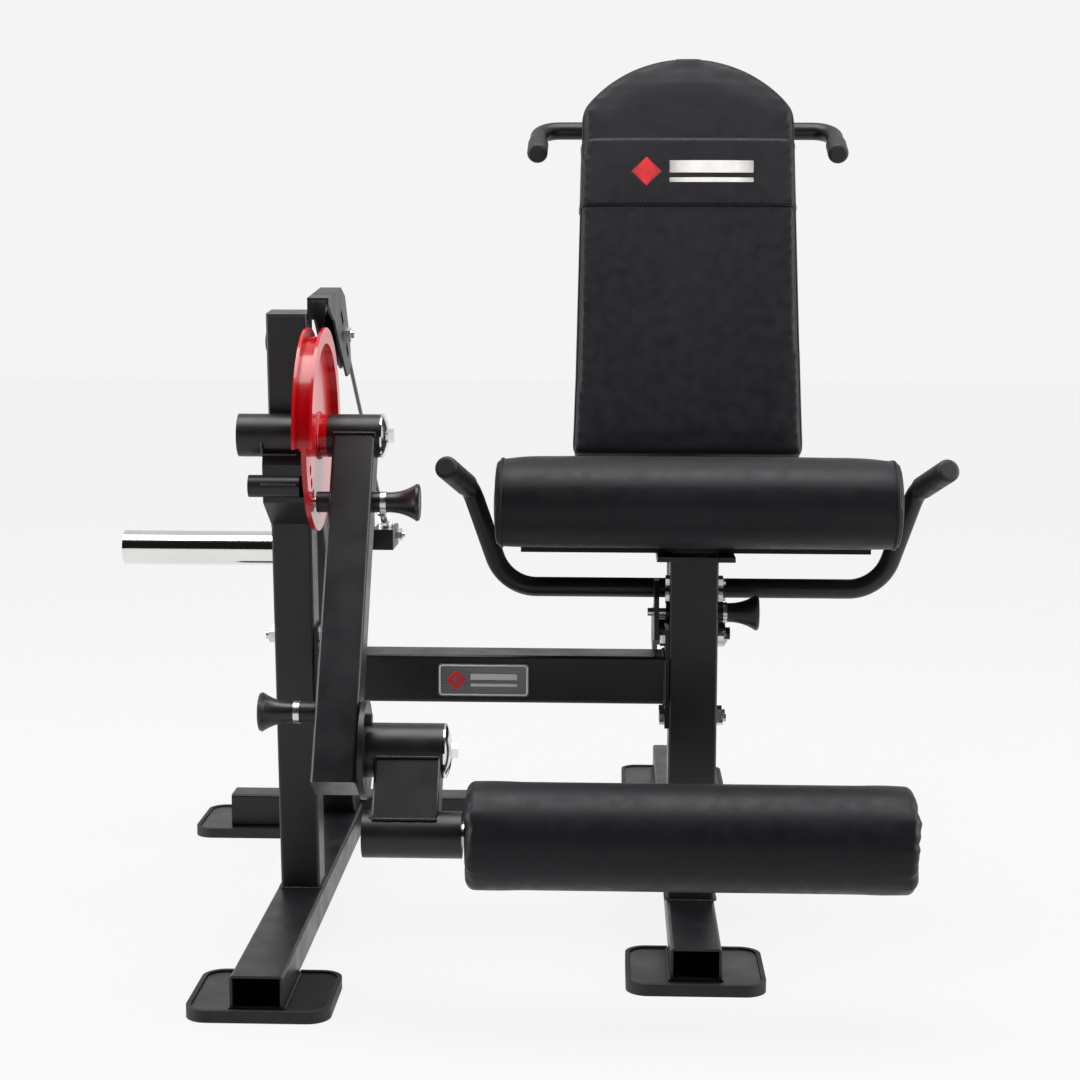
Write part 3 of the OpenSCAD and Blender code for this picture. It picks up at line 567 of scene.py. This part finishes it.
def bead_tree(name, look):
    """Small rounded beads along the edges of a line mesh, as in a weld or a row of stitches."""
    tree = bpy.data.node_groups.new(name, "GeometryNodeTree")
    face = tree.interface
    face.new_socket("Geometry", in_out="INPUT", socket_type="NodeSocketGeometry")
    ids = {}
    for label, value in (("Pitch", 0.003), ("Length", 0.004), ("Width", 0.004), ("Height", 0.003)):
        s = face.new_socket(label, in_out="INPUT", socket_type="NodeSocketFloat")
        s.default_value = value
        ids[label] = s.identifier
    s = face.new_socket("Seed", in_out="INPUT", socket_type="NodeSocketInt")
    s.default_value = 3
    ids["Seed"] = s.identifier
    face.new_socket("Geometry", in_out="OUTPUT", socket_type="NodeSocketGeometry")
    new, link = tree.nodes.new, tree.links.new
    source, sink = new("NodeGroupInput"), new("NodeGroupOutput")
    curve = new("GeometryNodeMeshToCurve")
    link(source.outputs["Geometry"], curve.inputs["Mesh"])
    spaced = new("GeometryNodeResampleCurve")
    spaced.mode = "LENGTH"
    link(curve.outputs["Curve"], spaced.inputs["Curve"])
    link(source.outputs["Pitch"], spaced.inputs["Length"])
    tangent = new("GeometryNodeInputTangent")
    turn = new("FunctionNodeAlignEulerToVector")
    turn.axis = "X"
    link(tangent.outputs["Tangent"], turn.inputs["Vector"])
    ball = new("GeometryNodeMeshIcoSphere")
    ball.inputs["Radius"].default_value = 0.5
    ball.inputs["Subdivisions"].default_value = 2
    round_ball = new("GeometryNodeSetShadeSmooth")
    link(ball.outputs["Mesh"], round_ball.inputs["Geometry"])
    size = new("ShaderNodeCombineXYZ")
    link(source.outputs["Length"], size.inputs["X"])
    link(source.outputs["Width"], size.inputs["Y"])
    link(source.outputs["Height"], size.inputs["Z"])
    change = new("FunctionNodeRandomValue")
    change.data_type = "FLOAT"
    change.inputs["Min"].default_value = 0.88
    change.inputs["Max"].default_value = 1.1
    link(source.outputs["Seed"], change.inputs["Seed"])
    scaled = new("ShaderNodeVectorMath")
    scaled.operation = "SCALE"
    link(size.outputs["Vector"], scaled.inputs[0])
    link(change.outputs[1], scaled.inputs["Scale"])
    put = new("GeometryNodeInstanceOnPoints")
    link(spaced.outputs["Curve"], put.inputs["Points"])
    link(round_ball.outputs["Geometry"], put.inputs["Instance"])
    link(turn.outputs["Rotation"], put.inputs["Rotation"])
    link(scaled.outputs["Vector"], put.inputs["Scale"])
    real = new("GeometryNodeRealizeInstances")
    link(put.outputs["Instances"], real.inputs["Geometry"])
    paint = new("GeometryNodeSetMaterial")
    paint.inputs["Material"].default_value = _looks[look]
    link(real.outputs["Geometry"], paint.inputs["Geometry"])
    link(paint.outputs["Geometry"], sink.inputs["Geometry"])
    return tree, ids


def beads(name, lines, look, body, pitch, length, width, height, seed):
    """One plain mesh of beads along the given lines, each a list of points."""
    verts, edges = [], []
    for line in lines:
        base = len(verts)
        verts += line
        edges += [(base + i, base + i + 1) for i in range(len(line) - 1)]
    mesh = bpy.data.meshes.new(name)
    mesh.from_pydata(verts, edges, [])
    obj = bpy.data.objects.new(name, mesh)
    bpy.context.scene.collection.objects.link(obj)
    tree, ids = bead_tree(name + "_rule", look)
    m = obj.modifiers.new("beads", "NODES")
    m.node_group = tree
    values = {"Pitch": pitch, "Length": length, "Width": width, "Height": height, "Seed": seed}
    for label, value in values.items():
        m[ids[label]] = value
    obj.update_tag()
    bpy.context.view_layer.update()
    apply_modifiers(obj)
    if not len(obj.data.polygons):
        raise RuntimeError(name + ": no beads were made")
    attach(obj, body)
    return obj


def ring(x, y, z, radius, start=0.0, end=360.0, steps=48):
    """Points round the x axis through (x, y, z) of the layout."""
    return [
        at(x, y + radius * math.cos(math.radians(a)), z + radius * math.sin(math.radians(a)))
        for a in [start + (end - start) * k / steps for k in range(steps + 1)]
    ]


# --------------------------------------------------------------------------------------
# the machine's own layout, in millimetres

PIVOT = (270, 640)
LEVER_TILT = math.radians(30.5)
SHIN = (PIVOT[0] - 396 * math.sin(LEVER_TILT), PIVOT[1] - 396 * math.cos(LEVER_TILT))
ROLLER = (10, 217)
PAD_FOOT = (590, 590)
RECLINE = math.radians(17)
PAD_THICK = 62
SEAT_MID = 490

HANDLE_R = 12.5 * MM

# seams of the cushions, in metres: distance in from an end, and height of the cord above the skin
SEAM_IN = 0.009
SEAM_LIFT = 0.0004


def on_pad(x, up, out=0.0):
    """A point on the back cushion: x across, up along its face and out in front of it, in metres."""
    n = Vector((0, -math.cos(RECLINE), math.sin(RECLINE)))
    u = Vector((0, math.sin(RECLINE), math.cos(RECLINE)))
    return at(SEAT_MID, *PAD_FOOT) + Vector((x, 0, 0)) + u * up + n * out


def on_lever(x, along, out):
    """A point of the lever: x across, along from the pivot down, out towards the front face."""
    return at(
        x,
        PIVOT[0] - along * math.sin(LEVER_TILT) - out * math.cos(LEVER_TILT),
        PIVOT[1] - along * math.cos(LEVER_TILT) + out * math.sin(LEVER_TILT),
    )


# --------------------------------------------------------------------------------------
# operators


class LEGEXT_OT_finishes(bpy.types.Operator):
    """Makes the materials and gives every carried-over CAD node its own"""

    bl_idname = "legext.finishes"
    bl_label = "Frame finishes"

    def execute(self, context):
        make_looks()
        for look, names in FINISH.items():
            for node in names.split():
                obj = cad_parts[node]
                for i in range(max(1, len(obj.material_slots))):
                    if not obj.material_slots:
                        raise RuntimeError(node + " has no material slot")
                    obj.material_slots[i].material = _looks[look]
        return {"FINISHED"}


class LEGEXT_OT_seat_cushion(bpy.types.Operator):
    """Stuffed seat cushion with piping"""

    bl_idname = "legext.seat_cushion"
    bl_label = "Seat cushion"

    def execute(self, context):
        u = settings("upholstery")
        lo, hi = (Vector(p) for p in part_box("seat_cushion"))

        def hold(p):
            """Flat where the cushion lies on its board."""
            return 0.25 if p.z < lo.z + 0.012 else 1.0

        obj = stuffed("seat_cushion", "seat_cushion_vinyl", u.voxel, 0.002, u.swell, hold)
        obj.data.materials.clear()
        obj.data.materials.append(_looks["vinyl"])
        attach(obj, "root")
        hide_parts("seat_cushion")
        ends = (lo.x + SEAM_IN, hi.x - SEAM_IN)
        seams = [outline(obj, Vector((x, 0, 0)), Vector((1, 0, 0)), SEAM_LIFT) for x in ends]
        piping("seat_piping", seams, u.piping, "root")
        return {"FINISHED"}


class LEGEXT_OT_back_cushion(bpy.types.Operator):
    """Domed back cushion with its wide band and seams"""

    bl_idname = "legext.back_cushion"
    bl_label = "Back cushion"

    def execute(self, context):
        u = settings("upholstery")
        rear = at(SEAT_MID, *PAD_FOOT) + Vector((0, math.cos(RECLINE), -math.sin(RECLINE))) * PAD_THICK * MM
        normal = Vector((0, math.cos(RECLINE), -math.sin(RECLINE)))

        def hold(p):
            """Flat where the cushion lies on its board."""
            return 0.15 if (p - rear).dot(normal) > -0.010 else 1.0

        obj = stuffed("back_cushion", "back_cushion_vinyl", u.voxel, 0.0015, u.swell, hold)
        obj.data.materials.clear()
        obj.data.materials.append(_looks["vinyl"])
        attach(obj, "backrest")
        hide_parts("back_cushion")
        seam = outline(obj, rear - normal * 0.048, normal, SEAM_LIFT)
        piping("back_piping", [seam], u.piping, "backrest")
        self.band(obj, u)
        return {"FINISHED"}

    def band(self, cushion, u):
        """The wide band is a second skin: the cushion's own faces between two heights, lifted and closed."""
        up = Vector((0, math.sin(RECLINE), math.cos(RECLINE)))
        foot = at(SEAT_MID, *PAD_FOOT)
        bm = bmesh.new()
        bm.from_mesh(cushion.data)
        for h, keep_up in ((u.band_low, True), (u.band_high, False)):
            bmesh.ops.bisect_plane(
                bm,
                geom=bm.verts[:] + bm.edges[:] + bm.faces[:],
                plane_co=foot + up * h,
                plane_no=up,
                clear_inner=keep_up,
                clear_outer=not keep_up,
            )
        bm.normal_update()
        normals = [(v, v.normal.copy()) for v in bm.verts]
        for v, n in normals:
            h = (v.co - foot).dot(up)
            edge = min(h - u.band_low, u.band_high - h)
            v.co += n * (0.0006 + 0.0019 * min(1.0, max(0.0, edge) / 0.006) ** 0.5)
        solid = bpy.data.meshes.new("back_band")
        bm.to_mesh(solid)
        bm.free()
        obj = new_piece("back_band", solid, "vinyl", "backrest")
        m = obj.modifiers.new("wall", "SOLIDIFY")
        m.thickness = 0.0016
        m.offset = -1
        apply_modifiers(obj)
        smooth(obj.data)
        lines = []
        for h in (u.band_low + 0.005, u.band_high - 0.005):
            lines.append(self.trace(cushion, foot + up * h, up, 0.0028))
        beads(
            "back_stitches", lines, "thread", "backrest",
            u.stitch_gap, u.stitch, 0.0013, 0.0013, 5,
        )

    def trace(self, cushion, point, normal, lift):
        """The cushion's front outline where a plane cuts it, as an ordered line a little above the skin."""
        bm = bmesh.new()
        bm.from_mesh(cushion.data)
        cut = bmesh.ops.bisect_plane(
            bm, geom=bm.verts[:] + bm.edges[:] + bm.faces[:], plane_co=point, plane_no=normal
        )["geom_cut"]
        bm.normal_update()
        mid = at(SEAT_MID, *PAD_FOOT)
        spots = []
        for v in cut:
            if isinstance(v, bmesh.types.BMVert):
                across = v.co.x - mid.x
                depth = (v.co - mid).dot(Vector((0, math.cos(RECLINE), -math.sin(RECLINE))))
                if depth < 0.050:
                    spots.append((math.atan2(across, depth - 0.10), v.co + v.normal * lift))
        bm.free()
        spots.sort(key=lambda s: s[0] % (2 * math.pi))
        line = [p for _, p in spots]
        thin = [line[0]]
        for p in line[1:]:
            if (p - thin[-1]).length > 0.004:
                thin.append(p)
        return thin


class LEGEXT_OT_leg_roller(bpy.types.Operator):
    """Vinyl-covered leg roller with gathered ends"""

    bl_idname = "legext.leg_roller"
    bl_label = "Leg roller"

    def execute(self, context):
        u = settings("upholstery")
        lo, hi = (Vector(p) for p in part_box("roller_pad"))
        mid = (lo + hi) / 2
        r = (hi.y - lo.y) / 2
        half = (hi.x - lo.x) / 2
        bore = 0.0203
        sides = 144

        def ripple(a, seed):
            p = Vector((math.cos(a) * 2.6, math.sin(a) * 2.6, seed))
            return noise.noise(p * 1.1) * 0.9 + noise.noise(p * 2.6) * 0.6

        # profile from the bore round one end, along the body and round the other end:
        # distance along, radius, and how deep the folds are there
        edge, recess = 0.014, 0.0035
        profile = [(-half + recess, bore, 0.0)]
        for k in range(1, 7):
            t = k / 6
            along = -half + recess - 0.001 * math.sin(math.pi * t)
            profile.append((along, bore + (r - edge - bore) * t, 0.25 + 0.75 * t))
        for k in range(1, 11):
            a = math.radians(9 * k)
            along = -half + edge - (edge - recess) * math.cos(a)
            profile.append((along, r - edge + edge * math.sin(a), 1.0 - 0.4 * k / 10))
        for k in range(1, 13):
            t = k / 12
            profile.append((-half + edge + 0.05 * t, r + 0.0006 * math.sin(math.pi * t), 0.6 * (1 - t) ** 2))
        left = list(profile)
        for k in range(1, 24):
            profile.append((-half + edge + 0.05 + (2 * half - 2 * edge - 0.1) * k / 24, r, 0.0))
        profile += [(-x, rr, w) for x, rr, w in reversed(left)]
        verts, faces = [], []
        for x, rr, w in profile:
            seed = 3.0 if x < 0 else 11.0
            inward = -1 if x > 0 else 1
            for k in range(sides):
                a = 2 * math.pi * k / sides
                f = ripple(a, seed) * w
                px = mid.x + x + inward * (-f) * u.gather * 1.3
                rad = rr + (f * u.gather * 0.75 if rr > bore + 0.002 else 0)
                rad = min(rad, r + 0.0016)
                verts.append((px, mid.y + rad * math.cos(a), mid.z + rad * math.sin(a)))
        n = len(profile)
        for i in range(n):
            j = (i + 1) % n
            for k in range(sides):
                m = (k + 1) % sides
                faces.append((i * sides + k, i * sides + m, j * sides + m, j * sides + k))
        mesh = bpy.data.meshes.new("roller_vinyl")
        mesh.from_pydata(verts, [], faces)
        bm = bmesh.new()
        bm.from_mesh(mesh)
        bmesh.ops.recalc_face_normals(bm, faces=bm.faces)
        bm.to_mesh(mesh)
        bm.free()
        smooth(mesh)
        obj = new_piece("roller_vinyl", mesh, "vinyl", "roller")
        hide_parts("roller_pad")
        return {"FINISHED"}


class LEGEXT_OT_handle_tubes(bpy.types.Operator):
    """Bent handle tubes beside the seat and behind the back cushion"""

    bl_idname = "legext.handle_tubes"
    bl_label = "Handle tubes"

    def execute(self, context):
        corner, bend, tip = (238, 404, 438), (282, 404, 563), (307, 304, 600)

        def seat(s):
            return [at(SEAT_MID + s * x, y, z) for x, y, z in (corner, bend, tip)]

        def shortened(p, q, by):
            return p - (p - q).normalized() * by * MM

        l, r = seat(-1), seat(1)
        points = [shortened(l[2], l[1], 5), l[1], l[0], r[0], r[1], shortened(r[2], r[1], 5)]
        turns = [r * MM for r in (24, 56, 56, 24)]
        mesh = tube_mesh("seat_handle_tube", rounded_path(points, turns, 14), HANDLE_R, 40)
        sharp_by_angle(mesh, 50)
        obj = new_piece("seat_handle_tube", mesh, "powder_coat", "root")
        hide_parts("seat_handlebar")
        lo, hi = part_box("back_handlebar")
        top = hi[2] - HANDLE_R
        rear = hi[1] - HANDLE_R

        def back(s):
            p = Vector((SEAT_X + s * 211 * MM, rear, top))
            return [p, p + Vector((0, -88, -38)) * MM]

        l, r = back(-1), back(1)
        points = [shortened(l[1], l[0], 5), l[0], r[0], shortened(r[1], r[0], 5)]
        mesh = tube_mesh("back_handle_tube", rounded_path(points, 30 * MM, 14), HANDLE_R, 40)
        sharp_by_angle(mesh, 50)
        obj = new_piece("back_handle_tube", mesh, "powder_coat", "backrest")
        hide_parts("back_handlebar")
        return {"FINISHED"}


class LEGEXT_OT_cables(bpy.types.Operator):
    """Smooth jacketed cable over the pulley and down to the weight arm"""

    bl_idname = "legext.cables"
    bl_label = "Cable"

    def execute(self, context):
        cam_x, py, pz = 30.5, 445, 757
        run, cable = 41.75, 2.75
        clevis_y, clevis_z = 1065, 422
        dy, dz = clevis_y - py, pz - clevis_z
        d = math.hypot(dy, dz)
        drop = math.atan2(dz, dy) + math.asin(run / d)
        length = math.sqrt(d * d - run * run)
        lead_y, lead_z = 270 + 122.05 + 1.2, 648
        dd = math.hypot(py - lead_y, pz - lead_z)
        tilt = math.atan2(py - lead_y, pz - lead_z) - math.asin(run / dd)
        first, last = math.pi + tilt, math.pi / 2 - drop
        steps = 48
        wrap = [
            at(cam_x, py + run * math.cos(a), pz + run * math.sin(a))
            for a in [first + (last - first) * k / steps for k in range(steps + 1)]
        ]
        foot = at(cam_x, lead_y, lead_z)
        lead = [foot + (wrap[0] - foot) * k / 12 for k in range(12)]
        top = wrap[-1]
        gap = 0.3 * MM
        along = Vector((0, math.cos(drop), -math.sin(drop)))
        half = length / 2 * MM
        terminal = 120 * MM
        front = [top + along * (gap + (half - gap) * k / 24) for k in range(25)]
        back = [top + along * (half + (half - terminal) * k / 16) for k in range(17)]
        pieces = (
            ("cable_over_pulley", lead + wrap, "cable_tower", "root"),
            ("cable_front_run", front, "cable_upper", "cable_front_run"),
            ("cable_back_run", back, "cable_lower", "cable_back_run"),
        )
        for name, path, node, body in pieces:
            mesh = tube_mesh(name, path, cable * MM, 20)
            sharp_by_angle(mesh, 50)
            obj = new_piece(name + "_jacket", mesh, "cable_jacket", body)
            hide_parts(node)
        return {"FINISHED"}


class LEGEXT_OT_welds(bpy.types.Operator):
    """Weld beads where the frame's tubes and plates meet"""

    bl_idname = "legext.welds"
    bl_label = "Weld beads"

    def execute(self, context):
        w = settings("welds")

        def weld(name, lines, body, seed):
            length, height = w.width * 0.9, w.width * 0.62
            beads(name, lines, "powder_coat", body, w.pitch, length, w.width, height, seed)

        # lever tube against its pivot tube
        saddle = ((9, 24.5), (18, 16), (24.5, 8), (26.3, 0), (24.5, -8), (18, -16), (9, -24.5))
        lever = [[on_lever(x, a, o) for a, o in saddle] for x in (53.2, 102.8)]
        lever.append([on_lever(x, 8.5, 25.0) for x in range(54, 103, 4)])
        weld("lever_welds", lever, "lever", 1)
        # housing against the nose and the post
        fixed = [
            [at(x, 247.5, 618) for x in range(-32, 10, 4)],
            ring(-33.2, 270, 640, 26.4, 200, 330, 20),
            [at(x, 238.8, 583) for x in range(-32, 11, 4)],
        ]
        fixed.append([at(-33.2, 322 - (z - 520) * 0.0945, z) for z in range(524, 657, 6)])
        # feet of the post, brace and seat post on their beams
        for cx, y0, y1, width in ((-8, 353, 403, 50), (490, 320, 380, 60)):
            s = width / 2 + 0.4
            loop = [
                (cx - s + 3, y0 - 0.4),
                (cx + s - 3, y0 - 0.4),
                (cx + s, y0 + 3),
                (cx + s, y1 - 3),
                (cx + s - 3, y1 + 0.4),
                (cx - s + 3, y1 + 0.4),
                (cx - s, y1 - 3),
                (cx - s, y0 + 3),
                (cx - s + 3, y0 - 0.4),
            ]
            fixed.append([at(x, y, 52.6) for x, y in loop])
        # floor beams on their plates
        for cx, y0, y1 in ((-8, 9, 138), (490, 128, 250), (490, 1085, 1208)):
            for s in (-1, 1):
                fixed.append([at(cx + s * 30.6, y, 13.0) for y in range(y0 + 4, y1, 8)])
        # crossbeam tube on its flange plates
        for x in (22.6, 454.4):
            fixed.append([at(x, y, 363.4) for y in range(324, 377, 4)])
            fixed.append([at(x, 319.6, z) for z in range(306, 361, 4)])
            fixed.append([at(x, y, 302.6) for y in range(324, 377, 4)])
        weld("frame_welds", fixed, "root", 2)
        # shin arm against both of its tubes
        sy, sz = SHIN
        dy, dz = ROLLER[0] - sy, ROLLER[1] - sz
        along = math.hypot(dy, dz)
        uy, uz = dy / along, dz / along
        ny, nz = -uz, uy

        def on_shin(x, t, out):
            return at(x, sy + uy * t + ny * out, sz + uz * t + nz * out)

        shin = []
        for s in (-1, 1):
            shin.append([on_shin(x, 18.8, s * 25.3) for x in range(127, 196, 4)])
            shin.append([on_shin(x, along - 8, s * 25.6) for x in range(127, 196, 4)])
        near = [math.radians(v) for v in range(-50, 51, 6)]
        far = [math.radians(v) for v in range(-66, 67, 6)]
        shin.append([on_shin(123.7, 31.2 * math.cos(a), 31.2 * math.sin(a)) for a in near])
        shin.append([on_shin(123.7, along - 26.3 * math.cos(a), 26.3 * math.sin(a)) for a in far])
        weld("shin_welds", shin, "shin", 3)
        beads(
            "cam_welds",
            [ring(cam_x, 270, 640, 27.0) for cam_x in (27.2, 33.8)],
            "cam_paint",
            "cam",
            w.pitch,
            w.width * 0.9,
            w.width,
            w.width * 0.8,
            4,
        )
        return {"FINISHED"}


class LEGEXT_OT_plain_marks(bpy.types.Operator):
    """Plain generic marks: the name plate's edge and bars, and the sewn mark on the band"""

    bl_idname = "legext.plain_marks"
    bl_label = "Plain marks"

    def execute(self, context):
        lo, hi = (Vector(p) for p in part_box("name_plate"))
        mid = (lo + hi) / 2
        front = lo.y
        w, h = (hi.x - lo.x) / 2, (hi.z - lo.z) / 2

        def plate_point(x, z, out):
            return Vector((mid.x + x, front - out, mid.z + z))

        def rounded_loop(w, h, r, steps=6):
            pts = []
            corners = ((w - r, h - r, 0), (r - w, h - r, 90), (r - w, r - h, 180), (w - r, r - h, 270))
            for cx, cz, a0 in corners:
                for k in range(steps + 1):
                    a = math.radians(a0 + 90 * k / steps)
                    pts.append((cx + r * math.cos(a), cz + r * math.sin(a)))
            return pts

        rim = [plate_point(x, z, 0.0003) for x, z in rounded_loop(w - 0.0021, h - 0.0021, 0.0035)]
        edge = tube_mesh("plate_edge", rim, 0.0009, 10, closed=True)
        smooth(edge)
        edge.materials.append(_looks["badge_edge"])
        parts = [edge]
        parts.append(self.slab(plate_point, self.diamond(0.0125, 0.0125), -0.034, 0, 0.0007, "mark_red"))
        parts.append(self.slab(plate_point, self.diamond(0.0055, 0.0055), -0.034, 0, 0.0011, "badge_metal"))
        parts.append(self.slab(plate_point, self.bar(0.029, 0.0036), 0.013, 0.0042, 0.0007, "badge_edge"))
        parts.append(self.slab(plate_point, self.bar(0.029, 0.0018), 0.013, -0.0062, 0.0007, "badge_edge"))
        mesh = joined("plate_marks", parts)
        obj = bpy.data.objects.new("plate_marks", mesh)
        bpy.context.scene.collection.objects.link(obj)
        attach(obj, "root")
        self.sewn_mark()
        return {"FINISHED"}

    def diamond(self, w, h):
        return [(0, h), (-w, 0), (0, -h), (w, 0)]

    def bar(self, w, h):
        return [(-w, -h), (w, -h), (w, h), (-w, h)]

    def slab(self, place, outline, cx, cz, height, look):
        """A low raised shape on a flat face, with a bevelled rim."""
        n = len(outline)
        verts = [place(cx + x, cz + z, -0.0002) for x, z in outline]
        verts += [place(cx + x, cz + z, height * 0.6) for x, z in outline]
        verts += [place(cx + x * 0.94, cz + z * 0.94, height) for x, z in outline]
        faces = [tuple(reversed(range(n))), tuple(2 * n + k for k in range(n))]
        for ring_i in (0, 1):
            for k in range(n):
                m = (k + 1) % n
                faces.append((ring_i * n + k, ring_i * n + m, (ring_i + 1) * n + m, (ring_i + 1) * n + k))
        mesh = bpy.data.meshes.new("slab")
        mesh.from_pydata(verts, [], faces)
        bm = bmesh.new()
        bm.from_mesh(mesh)
        bmesh.ops.recalc_face_normals(bm, faces=bm.faces)
        bm.to_mesh(mesh)
        bm.free()
        mesh.materials.append(_looks[look])
        return mesh

    def sewn_mark(self):
        """A diamond and two stripes of satin stitch on the band."""
        u = settings("upholstery")
        band = bpy.data.objects["back_band"]
        mid_up = (u.band_low + u.band_high) / 2
        n = Vector((0, -math.cos(RECLINE), math.sin(RECLINE)))

        def lifted(x, up, out):
            p = on_pad(x, up, 0.06)
            hit, where, _, _ = band.ray_cast(p, -n)
            if not hit:
                raise RuntimeError("the sewn mark misses the band")
            return where + n * out

        def rows(inside, w, h, cx, cz, look, pitch=0.0011):
            lines = []
            z = -h
            while z <= h:
                x = inside(z)
                if x > 0.0008:
                    lines.append(
                        tube_mesh(
                            "thread",
                            [lifted(cx - x + 2 * x * k / 4, mid_up + cz + z, -0.0001) for k in range(5)],
                            [0.0003, 0.0007, 0.0008, 0.0007, 0.0003],
                            6,
                        )
                    )
                    smooth(lines[-1])
                    lines[-1].materials.append(_looks[look])
                z += pitch
            return lines

        side = 0.021
        parts = rows(lambda z: side - abs(z), side, side, -0.058, 0, "mark_red")
        parts += rows(lambda z: 0.058, 0.058, 0.0085, 0.032, 0.0072, "mark_pale")
        parts += rows(lambda z: 0.058, 0.058, 0.0030, 0.032, -0.0120, "mark_pale")
        mesh = joined("sewn_mark", parts)
        obj = bpy.data.objects.new("sewn_mark", mesh)
        bpy.context.scene.collection.objects.link(obj)
        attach(obj, "backrest")


class LEGEXT_OT_stage(bpy.types.Operator):
    """Pale floor, soft lights and the camera"""

    bl_idname = "legext.stage"
    bl_label = "Studio stage"

    def execute(self, context):
        s = settings("stage")
        scene = context.scene
        scene.view_settings.view_transform = "Standard"
        world = bpy.data.worlds.new("studio")
        scene.world = world
        world.use_nodes = True
        tree = world.node_tree
        tree.nodes.clear()
        out = tree.nodes.new("ShaderNodeOutputWorld")
        seen = tree.nodes.new("ShaderNodeBackground")
        seen.inputs["Color"].default_value = (0.905, 0.905, 0.905, 1)
        lit = tree.nodes.new("ShaderNodeBackground")
        lit.inputs["Strength"].default_value = 1.0
        coord = tree.nodes.new("ShaderNodeTexCoord")
        split = tree.nodes.new("ShaderNodeSeparateXYZ")
        tree.links.new(coord.outputs["Generated"], split.inputs[0])
        ramp = tree.nodes.new("ShaderNodeMapRange")
        for k, v in (("From Min", -0.75), ("From Max", 0.30), ("To Min", 0.010), ("To Max", 0.72)):
            ramp.inputs[k].default_value = v
        ramp.interpolation_type = "SMOOTHSTEP"
        tree.links.new(split.outputs["Y"], ramp.inputs["Value"])
        tree.links.new(ramp.outputs["Result"], lit.inputs["Color"])
        path = tree.nodes.new("ShaderNodeLightPath")
        mix = tree.nodes.new("ShaderNodeMixShader")
        tree.links.new(path.outputs["Is Camera Ray"], mix.inputs[0])
        tree.links.new(lit.outputs[0], mix.inputs[1])
        tree.links.new(seen.outputs[0], mix.inputs[2])
        tree.links.new(mix.outputs[0], out.inputs["Surface"])

        size = 14.0
        mesh = bpy.data.meshes.new("studio_floor")
        corners = [(-size, -size, 0), (size, -size, 0), (size, size, 0), (-size, size, 0)]
        mesh.from_pydata(corners, [], [(0, 1, 2, 3)])
        floor = bpy.data.objects.new("studio_floor", mesh)
        scene.collection.objects.link(floor)
        k = Look("studio_floor", s.floor, 0.9, spec=0.0)
        k.set("Emission Color", (0.905, 0.905, 0.905, 1))
        k.set("Emission Strength", 0.955)
        mesh.materials.append(k.mat)

        def area(name, place, aim, width, height, watts):
            light = bpy.data.lights.new(name, "AREA")
            light.shape = "RECTANGLE"
            light.size, light.size_y = width, height
            light.energy = watts
            obj = bpy.data.objects.new(name, light)
            obj.location = place
            obj.rotation_euler = (Vector(aim) - Vector(place)).to_track_quat("-Z", "Y").to_euler()
            scene.collection.objects.link(obj)

        area("soft_left", (-3.0, -0.6, 1.5), (0, 0, 0.6), 1.6, 2.6, s.key)
        area("soft_right", (3.0, -0.6, 1.5), (0, 0, 0.6), 1.6, 2.6, s.key)
        area("soft_top", (0, -0.4, 3.2), (0, 0.1, 0.5), 2.6, 2.0, s.key * 1.1)

        cam = bpy.data.cameras.new("front_view")
        cam.lens = s.lens
        cam.sensor_width = 36
        obj = bpy.data.objects.new("front_view", cam)
        yaw, pitch, roll = math.radians(-1.909), math.radians(7.152), math.radians(0.2)
        forward = Vector((math.sin(yaw) * math.cos(pitch), math.cos(yaw) * math.cos(pitch), -math.sin(pitch)))
        turn = forward.to_track_quat("-Z", "Y").to_matrix() @ Matrix.Rotation(roll, 3, "Z")
        obj.matrix_world = Matrix.Translation(at(385, -2265, 833)) @ turn.to_4x4()
        scene.collection.objects.link(obj)
        scene.camera = obj
        return {"FINISHED"}


class LEGEXT_PT_panel(bpy.types.Panel):
    """Lists the pieces of the machine in the order in which they are made"""

    bl_idname = "LEGEXT_PT_panel"
    bl_label = "Leg extension machine"
    bl_space_type = "VIEW_3D"
    bl_region_type = "UI"
    bl_category = "Leg extension"

    def draw(self, context):
        for step in STEPS:
            self.layout.operator("legext." + step)


STEPS = (
    "finishes",
    "stage",
    "seat_cushion",
    "back_cushion",
    "leg_roller",
    "handle_tubes",
    "cables",
    "welds",
    "plain_marks",
)

GROUPS = {
    "finishes": LEGEXT_Finishes,
    "upholstery": LEGEXT_Upholstery,
    "welds": LEGEXT_Welds,
    "stage": LEGEXT_Stage,
}

CLASSES = (
    *GROUPS.values(),
    LEGEXT_OT_finishes,
    LEGEXT_OT_stage,
    LEGEXT_OT_seat_cushion,
    LEGEXT_OT_back_cushion,
    LEGEXT_OT_leg_roller,
    LEGEXT_OT_handle_tubes,
    LEGEXT_OT_cables,
    LEGEXT_OT_welds,
    LEGEXT_OT_plain_marks,
    LEGEXT_PT_panel,
)


def register():
    for c in CLASSES:
        bpy.utils.register_class(c)
    for name, group in GROUPS.items():
        setattr(bpy.types.Scene, "legext_" + name, bpy.props.PointerProperty(type=group))


def unregister():
    for name in GROUPS:
        delattr(bpy.types.Scene, "legext_" + name)
    for c in reversed(CLASSES):
        bpy.utils.unregister_class(c)


def main():
    register()
    for step in STEPS:
        getattr(bpy.ops.legext, step)()


if __name__ == "__main__":
    main()
